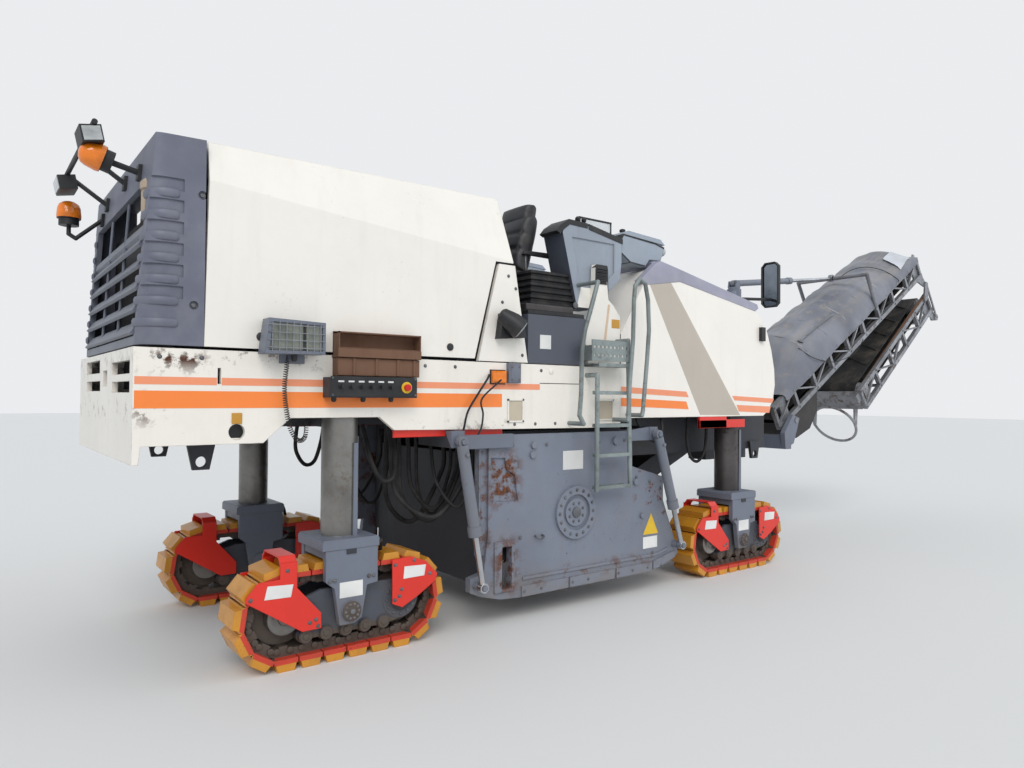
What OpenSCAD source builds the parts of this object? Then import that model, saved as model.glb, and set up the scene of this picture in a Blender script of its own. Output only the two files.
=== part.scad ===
// A cold planer (road milling machine) on four tracks, parked with its discharge conveyor folded.
// X points forward, Y to the machine's left, Z up. Millimetres. The origin lies on the ground
// under the middle of the whole machine.

/* [Layout] */
// Front leg axis, along the machine
front_x = 10; // [-200:1:200]
// Distance from the rear leg axis to the front one
wheelbase = 3690; // [3500:1:3900]
// Half width over the bodywork
body_half = 925; // [900:1:960]
// Leg axis inside the bodywork's side
leg_in = 140; // [130:1:150]
// Rear face of the bodywork behind the rear leg axis
rear_over = 1140; // [1050:1:1250]
// Drum axis behind the front leg axis
drum_back = 1940; // [1900:1:1990]
// Front of the tank ahead of the front leg axis
nose_over = 530; // [480:1:600]
// Slew axis of the discharge conveyor ahead of the front leg axis
slew_over = 1180; // [1100:1:1260]

/* [Skirt] */
// Underside of the skirt along the middle
skirt_z = 1300; // [1280:1:1330]
// Underside of the skirt at the rear
skirt_rear_z = 1258; // [1200:1:1290]
// Underside of the wheel cut-out over the rear legs
arch_z = 1390; // [1360:1:1420]
// Seam between skirt and hood
seam_z = 1750; // [1700:1:1790]
// Sheet thickness of the bodywork
sheet = 30; // [20:1:40]

/* [Hood] */
// Top of the engine hood
hood_top_z = 2860; // [2800:1:2950]
// Fold line of the hood's side at the rear
fold_rear_z = 2630; // [2560:1:2700]
// Fold line of the hood's side at the front
fold_front_z = 2430; // [2400:1:2500]
// Width of the hood's slope at the front
hood_inset = 110; // [60:1:160]
// Length of the grey corner mouldings
corner_len = 330; // [280:1:380]
// Radius of the grey corners
corner_r = 120; // [80:1:180]
// Depth of the pockets between the ribs of the corners
rib_d = 9; // [5:1:14]
// Gap around the hood
hood_gap = 14; // [10:1:20]
// Number of grille slats
slat_n = 5; // [4:1:7]

/* [Tank] */
// Underside of the front tank
tank_z = 1360; // [1340:1:1400]
// Top of the tank at its rear
tank_top_z = 2560; // [2500:1:2620]
// Top of the tank at its front
tank_front_z = 2310; // [2250:1:2360]
// Length of the tank
tank_len = 2010; // [1960:1:2040]
// Thickness of the grey tank cover
cover_t = 55; // [40:1:80]

/* [Platform] */
// Height of the seat boxes
seat_z = 2090; // [2050:1:2130]
// Inner edge of a console beside the seats
console_in = 655; // [645:1:670]
// Thickness of the white post under a console
post_t = 50; // [40:1:60]
// Ladder ahead of the bodywork's side
lad_out = 115; // [100:1:130]
// Hand rails ahead of the bodywork's side
rail_out = 155; // [140:1:170]

/* [Lashing eyes] */
// Radius of the hole in a lashing eye
eye_r = 30; // [22:0.5:36]
// Thickness of a lashing eye
eye_t = 30; // [25:1:40]

/* [Legs and tracks] */
// Radius of a leg's column
column_r = 105; // [95:1:115]
// Height of the yoke's top over the ground
yoke_z = 700; // [690:1:730]
// Length of a leg's column above the yoke
column_len = 850; // [820:1:880]
// Length of a track over its pads
track_len = 1290; // [1200:1:1350]
// Height of a track over its pads
track_h = 575; // [550:1:600]
// Width of a track
track_w = 260; // [230:1:290]
// Number of shoes on a track
shoe_n = 21; // [18:1:26]
// Height of a pad on its shoe
pad_t = 40; // [35:1:60]
// Thickness of a steel shoe
shoe_t = 28; // [12:1:32]
// Height of the link chain
link_t = 56; // [40:1:70]
// Width of the link chain
link_w = 156; // [140:1:170]
// Thickness of a track frame's plate
frame_t = 26; // [20:1:32]
// Thickness of the yoke's cheeks
cheek_t = 40; // [30:1:50]
// Thickness of the track guards
guard_t = 8; // [5:1:12]
// Gap between a moving piece and what it passes
run_gap = 12; // [8:1:16]
// Play of a pin or column in its bore
fit_gap = 0.3; // [0.2:0.1:1]

/* [Drum] */
// Radius of the drum over its tools
drum_r = 490; // [470:1:505]
// Radius of the drum's bare shell
shell_r = 380; // [350:1:400]
// Gap between the drum's end and its housing
drum_gap = 22; // [16:1:30]
// Thickness of the housing's sides
house_t = 60; // [50:1:70]
// Height of the drum's axis
drum_z = 690; // [670:1:720]
// Number of tools along one flight
tool_n = 30; // [20:1:40]

/* [Side plates] */
// Underside of the side plate
plate_z = 155; // [140:1:180]
// Top of the side plate
plate_top_z = 1262; // [1240:1:1275]
// Thickness of the side plate
plate_t = 55; // [40:1:60]
// Gap between the side plate and the drum's housing
plate_gap = 43; // [36:1:50]
// Distance from the side plate to the middle of its cylinders
cyl_out = 85; // [80:1:95]
// Radius of a plate cylinder's barrel
barrel_r = 38; // [32:1:42]
// Radius of a plate cylinder's rod
rod_r = 20; // [14:1:26]

/* [Conveyor] */
// Rise of the discharge conveyor, degrees
rise = 31.2; // [28:0.1:34]
// Half width of the conveyor's frame
conv_half = 425; // [400:1:450]
// Length of the first half
conv_len = 3560; // [3400:1:3650]
// Height of a side frame
frame_h = 280; // [250:1:310]
// Length of the folding half
fold_len = 2170; // [2000:1:2300]
// Tube of the side frames
chord = 50; // [40:1:60]
// Half width of the belt
belt_half = 300; // [280:1:320]
// Thickness of the belt
belt_t = 12; // [8:1:16]
// Radius of the belt's end rollers
roll_r = 98; // [80:1:105]
// Fold hinge below the side frames
hinge_drop = 120; // [110:1:150]
// Angle by which the folding half stays short of parallel
fold_short = 6; // [2:0.5:8]
// Radius of the hoop over the belt's end
hoop_r = 265; // [230:1:290]
// Lift pivot ahead of the slew axis
lift_over = 396; // [370:1:420]
// Height of the lift pivot
lift_z = 1289; // [1260:1:1320]
// Place of the lift cylinder's bridge along the first half
bridge = 2220; // [2150:1:2300]
// Height of the bridge over the first half
bridge_h = 660; // [640:1:700]

/* [Hidden] */
$fn = 48;
rear_x = front_x - wheelbase;
back_x = rear_x - rear_over;
drum_x = front_x - drum_back;
nose_x = front_x + nose_over;
slew_x = front_x + slew_over;
leg_y = body_half - leg_in;
hood_x0 = back_x + corner_len;
hood_x1 = rear_x + 870;
mid_x = nose_x - tank_len;
lift_x = slew_x + lift_over;
plate_y = body_half + 5;
house_y = plate_y - plate_t - plate_gap - house_t;
drum_half = house_y - drum_gap;
cyl_y = plate_y + cyl_out;

module wall(pts, y0, t) translate([0, y0 + t, 0]) rotate([90, 0, 0]) linear_extrude(t) polygon(pts);
module cross(pts, x0, t) translate([x0, 0, 0]) rotate([90, 0, 90]) linear_extrude(t) polygon(pts);
module box(x0, x1, y0, y1, z0, z1) translate([x0, y0, z0]) cube([x1 - x0, y1 - y0, z1 - z0]);
module both() { children(); mirror([0, 1, 0]) children(); }
module bar(a, b, r) {
  v = b - a;
  translate(a) rotate([0, acos(v[2] / norm(v)), atan2(v[1], v[0])]) cylinder(r = r, h = norm(v));
}
module pipe(p, r) {
  for (i = [0:len(p) - 2]) bar(p[i], p[i + 1], r);
  if (len(p) > 2) for (i = [1:len(p) - 2]) translate(p[i]) sphere(r = r * 1.03);
}
module ycyl(x, z, y0, y1, r) translate([x, y1, z]) rotate([90, 0, 0]) cylinder(r = r, h = y1 - y0);

// chassis
sleeve_r = column_r + 38;
beam_z = skirt_z + 30;
beam_h = 220;
// a leg's sleeve, flat on its outer side where the bodywork passes, wider by g
module sleeve(x, z, h, g) translate([x, leg_y, z]) intersection() {
  cylinder(r = sleeve_r + g, h = h);
  translate([-200, -200, 0]) cube([400, 200 + body_half - sheet - fit_gap - leg_y + g, h]);
}
module chassis_frame() color("slategray") {
  difference() {
    union() {
      both() box(back_x + 260, drum_x + 700, 430, 560, beam_z, beam_z + beam_h);
      for (x = [back_x + 260, rear_x + 250, hood_x1])
        box(x, x + 120, -431, 431, beam_z, beam_z + beam_h);
      both() for (x = [rear_x, front_x]) {
        box(x - 90, x + 90, 559, leg_y - 60, (x == rear_x ? beam_z : skirt_z - 20),
          (x == rear_x ? beam_z + beam_h - 40 : tank_z - fit_gap));
        sleeve(x, (x == rear_x ? arch_z + fit_gap : skirt_z - 20), (x == rear_x ? 300 : 380), 0);
      }
      // forks that carry the top pins of the rear plate cylinders, with an arm along the plate
      both() {
        box(r1[0][0] - 50, r1[0][0] + 50, 559, body_half - sheet - 5, r1[0][1] - 40, r1[0][1] + 140);
        box(r1[0][0] - 50, r1[0][0] + 50, 559, cyl_y - barrel_r - 6, r1[0][1] - 40, skirt_z - 2);
        box(r1[0][0] + 49, drum_x - 590, plate_y + 10, plate_y + 35, r1[0][1] - 52, skirt_z - 30);
        ycyl(r1[0][0], r1[0][1], cyl_y - barrel_r - 7, cyl_y + 32, pin_r);
      }
      both() box(drum_x + 560, slew_x - 280, 430, 560, skirt_z - 270, tank_z - 0.3);
      both() box(drum_x + 560, drum_x + 700, 430, 560, skirt_z - 271, beam_z + 1);
      both() eye(nose_x + 180, 559, skirt_z - 200);
      box(nose_x + 40, slew_x - 280, -431, 431, skirt_z - 270, skirt_z - 170);
      for (z = [skirt_z - 410, skirt_z - 150]) {
        translate([slew_x, 0, z]) cylinder(r = 120, h = 100);
        box(nose_x + (z == skirt_z - 150 ? 250 : 40), slew_x, -95, 95, z, z + 100);
      }
      box(nose_x + 40, nose_x + 120, -110, 110, skirt_z - 409, skirt_z - 269);
      box(nose_x + 250, nose_x + 330, -95, 95, skirt_z - 171, skirt_z - 149);
      // mast that carries the upper pivot of the conveyor's lift cylinder
      both() pipe([[nose_x + 80, 380, skirt_z - 171], [nose_x + 110, 380, 1700], [slew_x - 80, 50, mast_z + 6]], 32);
      translate([slew_x, 0, mast_z - 50]) cylinder(r = 75, h = 100);
    }
    both() for (x = [rear_x, front_x]) translate([x, leg_y, yoke_z])
      cylinder(r = column_r + fit_gap, h = column_len + 50);
    both() ycyl(nose_x + 180, skirt_z - 200 - eye_drop, 500, 700, eye_r);
    translate([slew_x, 0, 0]) cylinder(r = 45 + fit_gap, h = 2000);
    translate([slew_x, 0, mast_z - 60]) cylinder(r = 30 + fit_gap, h = 120);
  }
}
mast_z = 2640;
pin_r = 18;
eye_play = 1.6;
// a lashing eye, a plate that hangs from z with its hole eye_drop lower
module eye(x, y, z) wall([[x - 80, z], [x + 80, z], [x + 45, z - eye_drop - 45], [x - 45, z - eye_drop - 45]], y, eye_t);
eye_drop = 120;

module engine_block() color("dimgray") {
  box(rear_x - 760, hood_x1 - 120, -480, 480, beam_z + beam_h, 2450);
  box(back_x + 230, rear_x - 761, -700, 700, beam_z + beam_h, 2600);
}

skirt_pts = [[back_x, skirt_rear_z - 90], [back_x, seam_z], [mid_x, seam_z - 10],
  [mid_x, skirt_z - 10], [rear_x + 1070, skirt_z], [rear_x + 290, skirt_z + 10],
  [rear_x + 190, arch_z], [rear_x - 350, arch_z], [rear_x - 500, skirt_rear_z],
  [back_x + 40, skirt_rear_z], [back_x + sheet, skirt_rear_z - 90]];
// slots in the rear face: from Y, to Y, from Z, to Z
rear_slots = [[90, 633, 1640, 1717], [72, 619, 1533, 1593], [-850, -332, 1620, 1687],
  [-850, -342, 1525, 1582], [-177, -27, 1561, 1650]];
module rear_skirt() color("ivory") {
  difference() {
    both() wall(skirt_pts, body_half - sheet, sheet);
    both() box(back_x + 400, back_x + 416, body_half - sheet - 1, body_half + 1, 1573, 1655);
    both() ycyl(rear_x - 640, skirt_rear_z + 63, body_half - sheet - 1, body_half + 1, 42);
  }
  difference() {
    box(back_x, back_x + sheet, -body_half + sheet, body_half - sheet, skirt_rear_z - 90, seam_z);
    for (r = rear_slots) box(back_x - 1, back_x + sheet + 1, r[0], r[1], r[2], r[3]);
  }
  difference() {
    both() eye(back_x + 420, 520, skirt_rear_z + 1);
    both() ycyl(back_x + 420, skirt_rear_z + 1 - eye_drop, 400, 700, eye_r);
  }
  difference() {
    union() {
      box(back_x + sheet, rear_x - 500, -body_half + sheet, body_half - sheet, skirt_rear_z, skirt_rear_z + sheet);
      box(rear_x - 350, rear_x + 190, -body_half + sheet, body_half - sheet, arch_z, arch_z + sheet);
    }
    both() translate([rear_x, leg_y, 0]) cylinder(r = sleeve_r + fit_gap, h = 2000);
    both() box(back_x + 200, mid_x, 430 - fit_gap, 560 + fit_gap, beam_z - fit_gap, beam_z + beam_h + 60);
    both() box(rear_x - 90 - fit_gap, rear_x + 90 + fit_gap, 500, leg_y, beam_z, beam_z + beam_h);
  }
}

tank_pts = [[mid_x, tank_z], [mid_x, tank_top_z - 560], [mid_x + 320, tank_top_z - 40],
  [mid_x + 420, tank_top_z], [nose_x - 310, tank_front_z], [nose_x - 210, tank_front_z - 70],
  [nose_x - 120, tank_front_z - 190], [nose_x - 55, tank_front_z - 350], [nose_x - 10, 1790],
  [nose_x, 1640], [nose_x - 30, 1500], [nose_x - 105, tank_z + 45], [nose_x - 180, tank_z]];
module front_tank() color("ivory") difference() {
  wall(tank_pts, -body_half, 2 * body_half);
  both() sleeve(front_x, 1000, skirt_z + 360 + fit_gap - 1000, fit_gap);
  wall([[mid_x - 10, tank_z - 10], [nose_x + 10, tank_z - 10], [nose_x + 10, 1840], [nose_x - 900, tank_z - 10]],
    -430, 860);
  both() box(mid_x - 10, drum_x + 700 + fit_gap, 430 - fit_gap, 560 + fit_gap, tank_z - 10, beam_z + beam_h + fit_gap);
}
module front_cover() color("slategray")
  wall([[mid_x + 420, tank_top_z + fit_gap], [nose_x - 310, tank_front_z + fit_gap],
    [nose_x - 290, tank_front_z + cover_t], [mid_x + 440, tank_top_z + cover_t],
    [mid_x + 400, tank_top_z + cover_t - 10]], -body_half + 60, 2 * body_half - 120);

hinge_x = hood_x1 + 215;
hinge_z = hood_top_z - 75;
module platform() color("slategray") {
  // fixed panels and bulkhead behind the seats
  both() wall([[hood_x1 + 30, seam_z + 0.3], [hood_x1 + 190, fold_front_z - 25], [hood_x1 + 325, fold_front_z - 25],
    [hood_x1 + 440, seam_z + 0.3]], body_half - sheet, sheet);
  difference() {
    wall([[hood_x1 + 225, seam_z], [hood_x1 + 225, hinge_z - 30], [hood_x1 + 255, hinge_z - 30], [hood_x1 + 300, seam_z]],
      -body_half + sheet, 2 * body_half - 2 * sheet);
    bevel(body_half - sheet - hood_gap);
    both() box(hood_x1 + 200, hood_x1 + 310, body_half - sheet - hood_gap, body_half, fold_front_z - 32, hinge_z);
  }
  both() {
    wall([[hinge_x - 25, hinge_z + 20], [hinge_x + 20, hinge_z + 20], [hinge_x + 20, hinge_z - 80], [hinge_x - 25, hinge_z - 80]],
      560, 20);
    ycyl(hinge_x, hinge_z, 500, 561, 14);
  }
  box(hood_x1 + 299, mid_x - 0.3, -body_half + sheet + 1, body_half - sheet - 1, seam_z - 30, seam_z);
  both() box(hood_x1 + 441, mid_x - 366, 330, body_half, seam_z - 1, seat_z - fit_gap);
  // lamp under the fixed panel
  both() wall([[hood_x1 + 160, seam_z + 150], [hood_x1 + 185, seam_z + 320], [hood_x1 + 350, seam_z + 300],
    [hood_x1 + 375, seam_z + 165]], body_half - 1, 66);
}
// seat: bellows, pan, cushion, back rest and head rest
module seats() color("black") both() {
  for (i = [0:3]) box(hood_x1 + 575, hood_x1 + 925, 365, 585, seat_z + i * 52, seat_z + i * 52 + 30);
  box(hood_x1 + 590, hood_x1 + 910, 380, 570, seat_z, seat_z + 216);
  wall([[hood_x1 + 540, seat_z + 215], [hood_x1 + 520, seat_z + 240], [hood_x1 + 520, seat_z + 290], [hood_x1 + 560, seat_z + 330],
    [hood_x1 + 930, seat_z + 345], [hood_x1 + 1000, seat_z + 320], [hood_x1 + 1005, seat_z + 265], [hood_x1 + 960, seat_z + 215]],
    240, 400);
  wall([[hood_x1 + 545, seat_z + 320], [hood_x1 + 620, seat_z + 330], [hood_x1 + 700, seat_z + 560], [hood_x1 + 760, seat_z + 790],
    [hood_x1 + 740, seat_z + 840], [hood_x1 + 670, seat_z + 850], [hood_x1 + 640, seat_z + 790], [hood_x1 + 590, seat_z + 560]],
    250, 380);
}
module consoles() color("lightsteelblue") both() {
  difference() {
    wall([[mid_x - 400, seat_z + 89], [mid_x - 542, 2710], [mid_x - 530, 2755], [mid_x - 470, 2800], [mid_x - 250, 2790],
      [mid_x + 60, 2725], [mid_x + 60, 2560], [mid_x + 40, 2420], [mid_x - 160, 2260], [mid_x - 190, seat_z + 89]],
      console_in, console_y - console_in);
    // panel set into the face
    wall([[mid_x - 360, 2330], [mid_x - 450, 2690], [mid_x - 20, 2690], [mid_x - 20, 2470], [mid_x - 180, 2330]],
      console_y - 10, 30);
  }
  // padded top edge
  wall([[mid_x - 590, 2722], [mid_x - 560, 2765], [mid_x - 480, 2812], [mid_x - 240, 2802], [mid_x + 70, 2736],
    [mid_x + 70, 2700], [mid_x - 250, 2766], [mid_x - 465, 2776], [mid_x - 530, 2735], [mid_x - 560, 2700]],
    console_in + 20, console_y - console_in - 25);
  // lidded box on the console's front
  wall([[mid_x + 59, 2730], [mid_x + 110, 2800], [mid_x + 480, 2770], [mid_x + 575, 2745], [mid_x + 530, 2632],
    [mid_x + 394, 2624], [mid_x + 345, 2560], [mid_x + 180, 2572], [mid_x + 59, 2640]], console_in + 5, console_y - console_in - 25);
  wall([[mid_x + 100, 2790], [mid_x + 150, 2822], [mid_x + 520, 2800], [mid_x + 570, 2760]],
    console_in, console_y - console_in - 12);
  // post with its vents
  color("ivory") difference() {
    wall([[mid_x - 325, seam_z], [mid_x - 363, 1935], [mid_x - 325, 2093], [mid_x - 290, 2145], [mid_x - 268, 2230],
      [mid_x - 262, 2480], [mid_x - 252, 2505], [mid_x - 140, 2505], [mid_x - 132, 2480], [mid_x - 126, 2248], [mid_x - 70, 2207],
      [mid_x - 1, 2130], [mid_x - 1, seam_z]], console_y - 1, post_t);
    for (z = [2360, 2385, 2410, 2435, 2460])
      box(mid_x - 250, mid_x - 144, console_y + post_t - 16, console_y + post_t, z, z + 12);
  }
}
console_y = body_half - 55;
post_y = console_y + post_t - 1;
lad_y = body_half + lad_out;
rail_y = body_half + rail_out;
// treads: height, reach
treads = [[865, 50], [1096, 50], [1312, 50], [1550, 50], [1752, 100]];
module ladders() color("darkseagreen") both() {
  pipe([[mid_x - 352, lad_y, 837], [mid_x - 352, lad_y, 1677], [mid_x - 352, body_half, 1677]], 17);
  pipe([[mid_x - 12, lad_y, 850], [mid_x - 40, lad_y, 1940], [mid_x - 40, post_y, 1940]], 17);
  for (t = treads) cross([[lad_y - t[1], t[0] - 13], [lad_y + 14, t[0] - 13], [lad_y + 14, t[0] + 13], [lad_y + 8, t[0] + 13],
    [lad_y + 8, t[0] - 5], [lad_y - t[1] + 6, t[0] - 5], [lad_y - t[1] + 6, t[0] + 13], [lad_y - t[1], t[0] + 13]],
    mid_x - 352, 325);
  // perforated foot plates under the platform's edge
  difference() {
    box(mid_x - 420, mid_x - 45, lad_y + 10, lad_y + 16, 1779, 1931);
    for (i = [0:8], k = [0:1])
      translate([mid_x - 390 + i * 40, lad_y + 30, 1820 + k * 60]) rotate([90, 0, 0]) cylinder(r = 12, h = 30, $fn = 6);
  }
  box(mid_x - 420, mid_x - 405, body_half, lad_y + 11, 1779, 1890);
  // rear hand rail
  pipe([[mid_x - 390, console_y, 2340], [mid_x - 390, rail_y, 2340], [mid_x - 465, rail_y, 2119], [mid_x - 512, rail_y, 1989],
    [mid_x - 539, rail_y, 1847], [mid_x - 546, rail_y, 1532], [mid_x - 560, rail_y, 1390], [mid_x - 520, rail_y, 1330],
    [mid_x - 520, body_half, 1330]], 16);
  // front hand rail, a narrow loop over the tank's edge
  pipe([[mid_x - 78, body_half, 1351], [mid_x - 78, rail_y, 1351], [mid_x - 59, rail_y, 1646], [mid_x - 29, rail_y, 1944],
    [mid_x - 21, rail_y, 2242], [mid_x - 8, rail_y, 2350], [mid_x + 40, rail_y, 2404], [mid_x + 100, rail_y, 2375],
    [mid_x + 131, rail_y, 2255], [mid_x + 143, rail_y, 2028], [mid_x + 123, rail_y, 1801], [mid_x + 81, rail_y, 1424],
    [mid_x + 71, rail_y, 1385], [mid_x + 71, body_half, 1385]], 16);
}
mirror_x = nose_x - 360;
function cover_z(x) = tank_front_z + cover_t + fit_gap
  + (nose_x - 290 - x) * (tank_top_z - tank_front_z) / (nose_x - 290 - mid_x - 440);
module mirrors() color("black") both() {
  wall([[mirror_x - 40, cover_z(mirror_x - 40)], [mirror_x + 40, cover_z(mirror_x + 40)],
    [mirror_x + 30, cover_z(mirror_x) + 25], [mirror_x - 30, cover_z(mirror_x) + 25]], 705, 70);
  pipe([[nose_x - 360, 740, cover_z(mirror_x) + 15], [nose_x - 360, 740, 2430], [nose_x + 217, 740, 2470]], 14);
  translate([nose_x + 200, body_half - 185, 2610]) rotate([90, 0, 90]) difference() {
    linear_extrude(35) polygon([[-90, -180], [-55, -215], [55, -215], [90, -180], [90, 180], [55, 215], [-55, 215], [-90, 180]]);
    translate([0, 0, -1]) linear_extrude(13)
      polygon([[-80, -175], [-50, -205], [50, -205], [80, -175], [80, 175], [50, 205], [-50, 205], [-80, 175]]);
  }
  // small lamp on the tank's side
  box(nose_x - 245, nose_x - 190, body_half + fit_gap, body_half + 32, 2035, 2160);
}
module side_boxes() color("gray") both() {
  // work lamp with its bezel, on a bracket
  difference() {
    wall([[rear_x - 540, 1735], [rear_x - 515, 1925], [rear_x - 205, 1915], [rear_x - 205, 1740]], body_half + 16, 110);
    wall([[rear_x - 515, 1755], [rear_x - 497, 1905], [rear_x - 222, 1897], [rear_x - 222, 1758]], body_half + 116, 20);
  }
  box(rear_x - 420, rear_x - 290, body_half, body_half + 40, 1690, 1746);
  // shelf with an upturned edge
  cross([[body_half, 1735], [body_half + 90, 1735], [body_half + 90, 1786], [body_half + 82, 1786], [body_half + 82, 1745],
    [body_half, 1745]], rear_x - 115, 535);
  // control box: lid, switches, stop button
  box(rear_x - 166, rear_x + 390, body_half, body_half + 92, 1505, 1620);
  box(rear_x - 160, rear_x + 384, body_half + 91, body_half + 100, 1511, 1626);
  for (i = [0:5]) ycyl(rear_x - 100 + i * 62, 1566, body_half + 99, body_half + 112, 11);
  ycyl(rear_x + 315, 1566, body_half + 99, body_half + 104, 34);
  ycyl(rear_x + 315, 1566, body_half + 103, body_half + 124, 20);
}

module drum_housing() color("slategray") difference() {
  union() {
    both() box(drum_x - 700, drum_x + 550, house_y, house_y + house_t, 400, skirt_z - 20);
    box(drum_x - 700, drum_x + 550, -house_y - 1, house_y + 1, skirt_z - 60, skirt_z - 20);
    box(drum_x + 510, drum_x + 550, -house_y - 1, house_y + 1, 620, skirt_z - 59);
    both() box(drum_x - 690, drum_x + 540, 430, 560, skirt_z - 21, beam_z - fit_gap);
    both() {
      box(drum_x + 735, drum_x + 825, 561, cyl_y - barrel_r - 6, r2[0][1] - 40, r2[0][1] + 60);
      box(drum_x + 400, drum_x + 736, house_y + 1, house_y + house_t, r2[0][1] - 40, r2[0][1] + 40);
      ycyl(r2[0][0], r2[0][1], cyl_y - barrel_r - 7, cyl_y + 32, pin_r);
      // arm over the side plate
      wall([[drum_x + 540, r2[0][1] - 44], [drum_x + 540, r2[0][1] + 40], [drum_x + 739, r2[0][1] + 59], [drum_x + 854, r2[0][1] + 33],
        [drum_x + 866, r2[0][1] - 22], [drum_x + 797, r2[0][1] - 44]], plate_y + 10, 26);
    }
    both() for (z = [500, skirt_z - 61]) box(scr_x - 30, scr_x + 30, scr_y - 30, house_y + 1, z, z + 20);
    both() translate([scr_x, scr_y, 510]) cylinder(r = 20, h = skirt_z - 540);
  }
  both() ycyl(drum_x, drum_z, house_y - 10, house_y + 100, 90 + fit_gap);
}
scr_x = drum_x - 640;
scr_y = drum_half - 40;
prim = [[drum_x + 640, 420], [slew_x - 70, 1470]];
head_x = slew_x - 290;
module primary_conveyor() color("dimgray") {
  difference() {
    union() {
      both() wall([prim[0], prim[1], prim[1] + [0, 230], prim[0] + [0, 180]], 318, 12);
      wall([prim[0] + [30, 60], prim[1] + [-20, 90], prim[1] + [-20, 105], prim[0] + [30, 75]], -318.5, 637);
      wall([prim[0] + [0, 0], prim[1] + [0, 0], prim[1] + [0, 12], prim[0] + [0, 12]], -318, 636);
    }
    both() box(head_x, prim[1][0] + 50, 291, 400, 1300, 1800);
  }
  // narrower head, clear of the slewing foot
  intersection() {
    both() wall([prim[0], prim[1], prim[1] + [0, 230], prim[0] + [0, 180]], 280, 12);
    both() box(head_x - 12, prim[1][0] + 50, 270, 300, 1300, 1800);
  }
  intersection() {
    both() wall([prim[0], prim[1], prim[1] + [0, 230], prim[0] + [0, 180]], 280, 50);
    both() box(head_x - 12, head_x, 270, 340, 1300, 1800);
  }
  // brackets that hang it between the frame's beams
  both() {
    box(front_x - 110, front_x - 50, 329, 430 - fit_gap, skirt_z - 255, skirt_z - 195);
    box(front_x + 290, front_x + 350, 329, 430 - fit_gap, skirt_z - 180, skirt_z - 60);
  }
}

// engine hood
hood_slope = atan((fold_rear_z - fold_front_z) / (hood_x1 + 310 - hood_x0));
hood_lean = atan(hood_inset / (hood_top_z - fold_front_z));
module bevel(half) both() translate([hood_x1 + 310, half, fold_front_z]) rotate([0, hood_slope, 0])
  rotate([hood_lean, 0, 0]) translate([-2600, 0, 0]) cube([3200, 600, 900]);
module engine_hood() color("ivory") difference() {
  wall([[hood_x0, seam_z + hood_gap], [hood_x1, seam_z + hood_gap], [hood_x1 + 165, fold_front_z - 12],
    [hood_x1 + 310, fold_front_z - 12], [hood_x1 + 310, fold_front_z], [hood_x1 + 250, hood_top_z + 10],
    [hood_x0 + 20, hood_top_z - 20]], -body_half, 2 * body_half);
  bevel(body_half);
  difference() {
    wall([[hood_x0 - 50, seam_z - 50], [hood_x1 + 800, seam_z - 50], [hood_x1 + 800, hood_top_z - sheet + 8],
      [hood_x0 - 50, hood_top_z - sheet - 20]], -body_half + sheet, 2 * body_half - 2 * sheet);
    bevel(body_half - sheet);
    // lugs that hang on the hinge pins
    both() difference() {
      wall([[hinge_x - 22, hood_top_z], [hinge_x + 22, hood_top_z], [hinge_x + 18, hinge_z - 18], [hinge_x - 18, hinge_z - 18]],
        510, 45);
      ycyl(hinge_x, hinge_z, 500, 600, 14 + fit_gap);
    }
  }
}
module plan(in, r) linear_extrude(3000) {
  difference() {
    translate([back_x + 20 + in, -body_half + in]) square([corner_len - 20.3 - in + (in > 0 ? 50 : 0), 2 * body_half - 2 * in]);
    both() translate([back_x + 20 + in, body_half - in - r]) difference() {
      translate([-1, 0]) square([r + 1, r + 1]);
      translate([r, 0]) circle(r = r);
    }
  }
}
module mould(in) intersection() {
  plan(in, corner_r - in);
  wall([[back_x + 20 + in, seam_z + hood_gap - in * 3], [hood_x0 + in * 3, seam_z + hood_gap - in * 3],
    [hood_x0 + 20 + in * 3, hood_top_z - 30 - in], [back_x + 90 + in, hood_top_z - 35 - in]], -body_half, 2 * body_half);
}
rib_pitch = 109;
rib_z = seam_z + 250;
module hood_grille() color("slategray") {
  difference() {
    mould(0);
    mould(sheet);
    box(back_x - 50, back_x + 200, -body_half + 125, body_half - 125, seam_z + 60, hood_top_z - 250);
    // pockets that leave the ribs around the corners
    difference() {
      for (i = [0:5]) box(back_x - 50, back_x + 225, -body_half - 1, body_half + 1,
        rib_z + i * rib_pitch, rib_z + i * rib_pitch + 62);
      plan(rib_d, corner_r);
    }
    both() for (p = [[hood_x0 - 16, seam_z + 792], [hood_x0 - 52, seam_z + 222]])
      ycyl(p[0], p[1], body_half - 14, body_half + 5, 22);
  }
  for (i = [0:slat_n - 1]) translate([lean_x(seam_z + 110 + i * 112) + 4, 0, seam_z + 110 + i * 112]) rotate([0, 35, 0])
    box(0, 18, -body_half + 123, body_half - 123, -40, 36);
}
function lean_x(z) = back_x + 20 + 70 * (z - seam_z - hood_gap) / (hood_top_z - 35 - seam_z - hood_gap) - fit_gap;
module clamp(y, z) {
  wall([[lean_x(z - 40), z - 40], [lean_x(z + 40), z + 40], [lean_x(z + 40) - 18, z + 40], [lean_x(z - 40) - 18, z - 40]],
    y - 30, 60);
}
module beacon() {
  cylinder(r = 58, h = 44);
  translate([0, 0, 43]) cylinder(r1 = 68, r2 = 62, h = 72);
  translate([0, 0, 114]) cylinder(r1 = 62, r2 = 34, h = 36);
}
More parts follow.
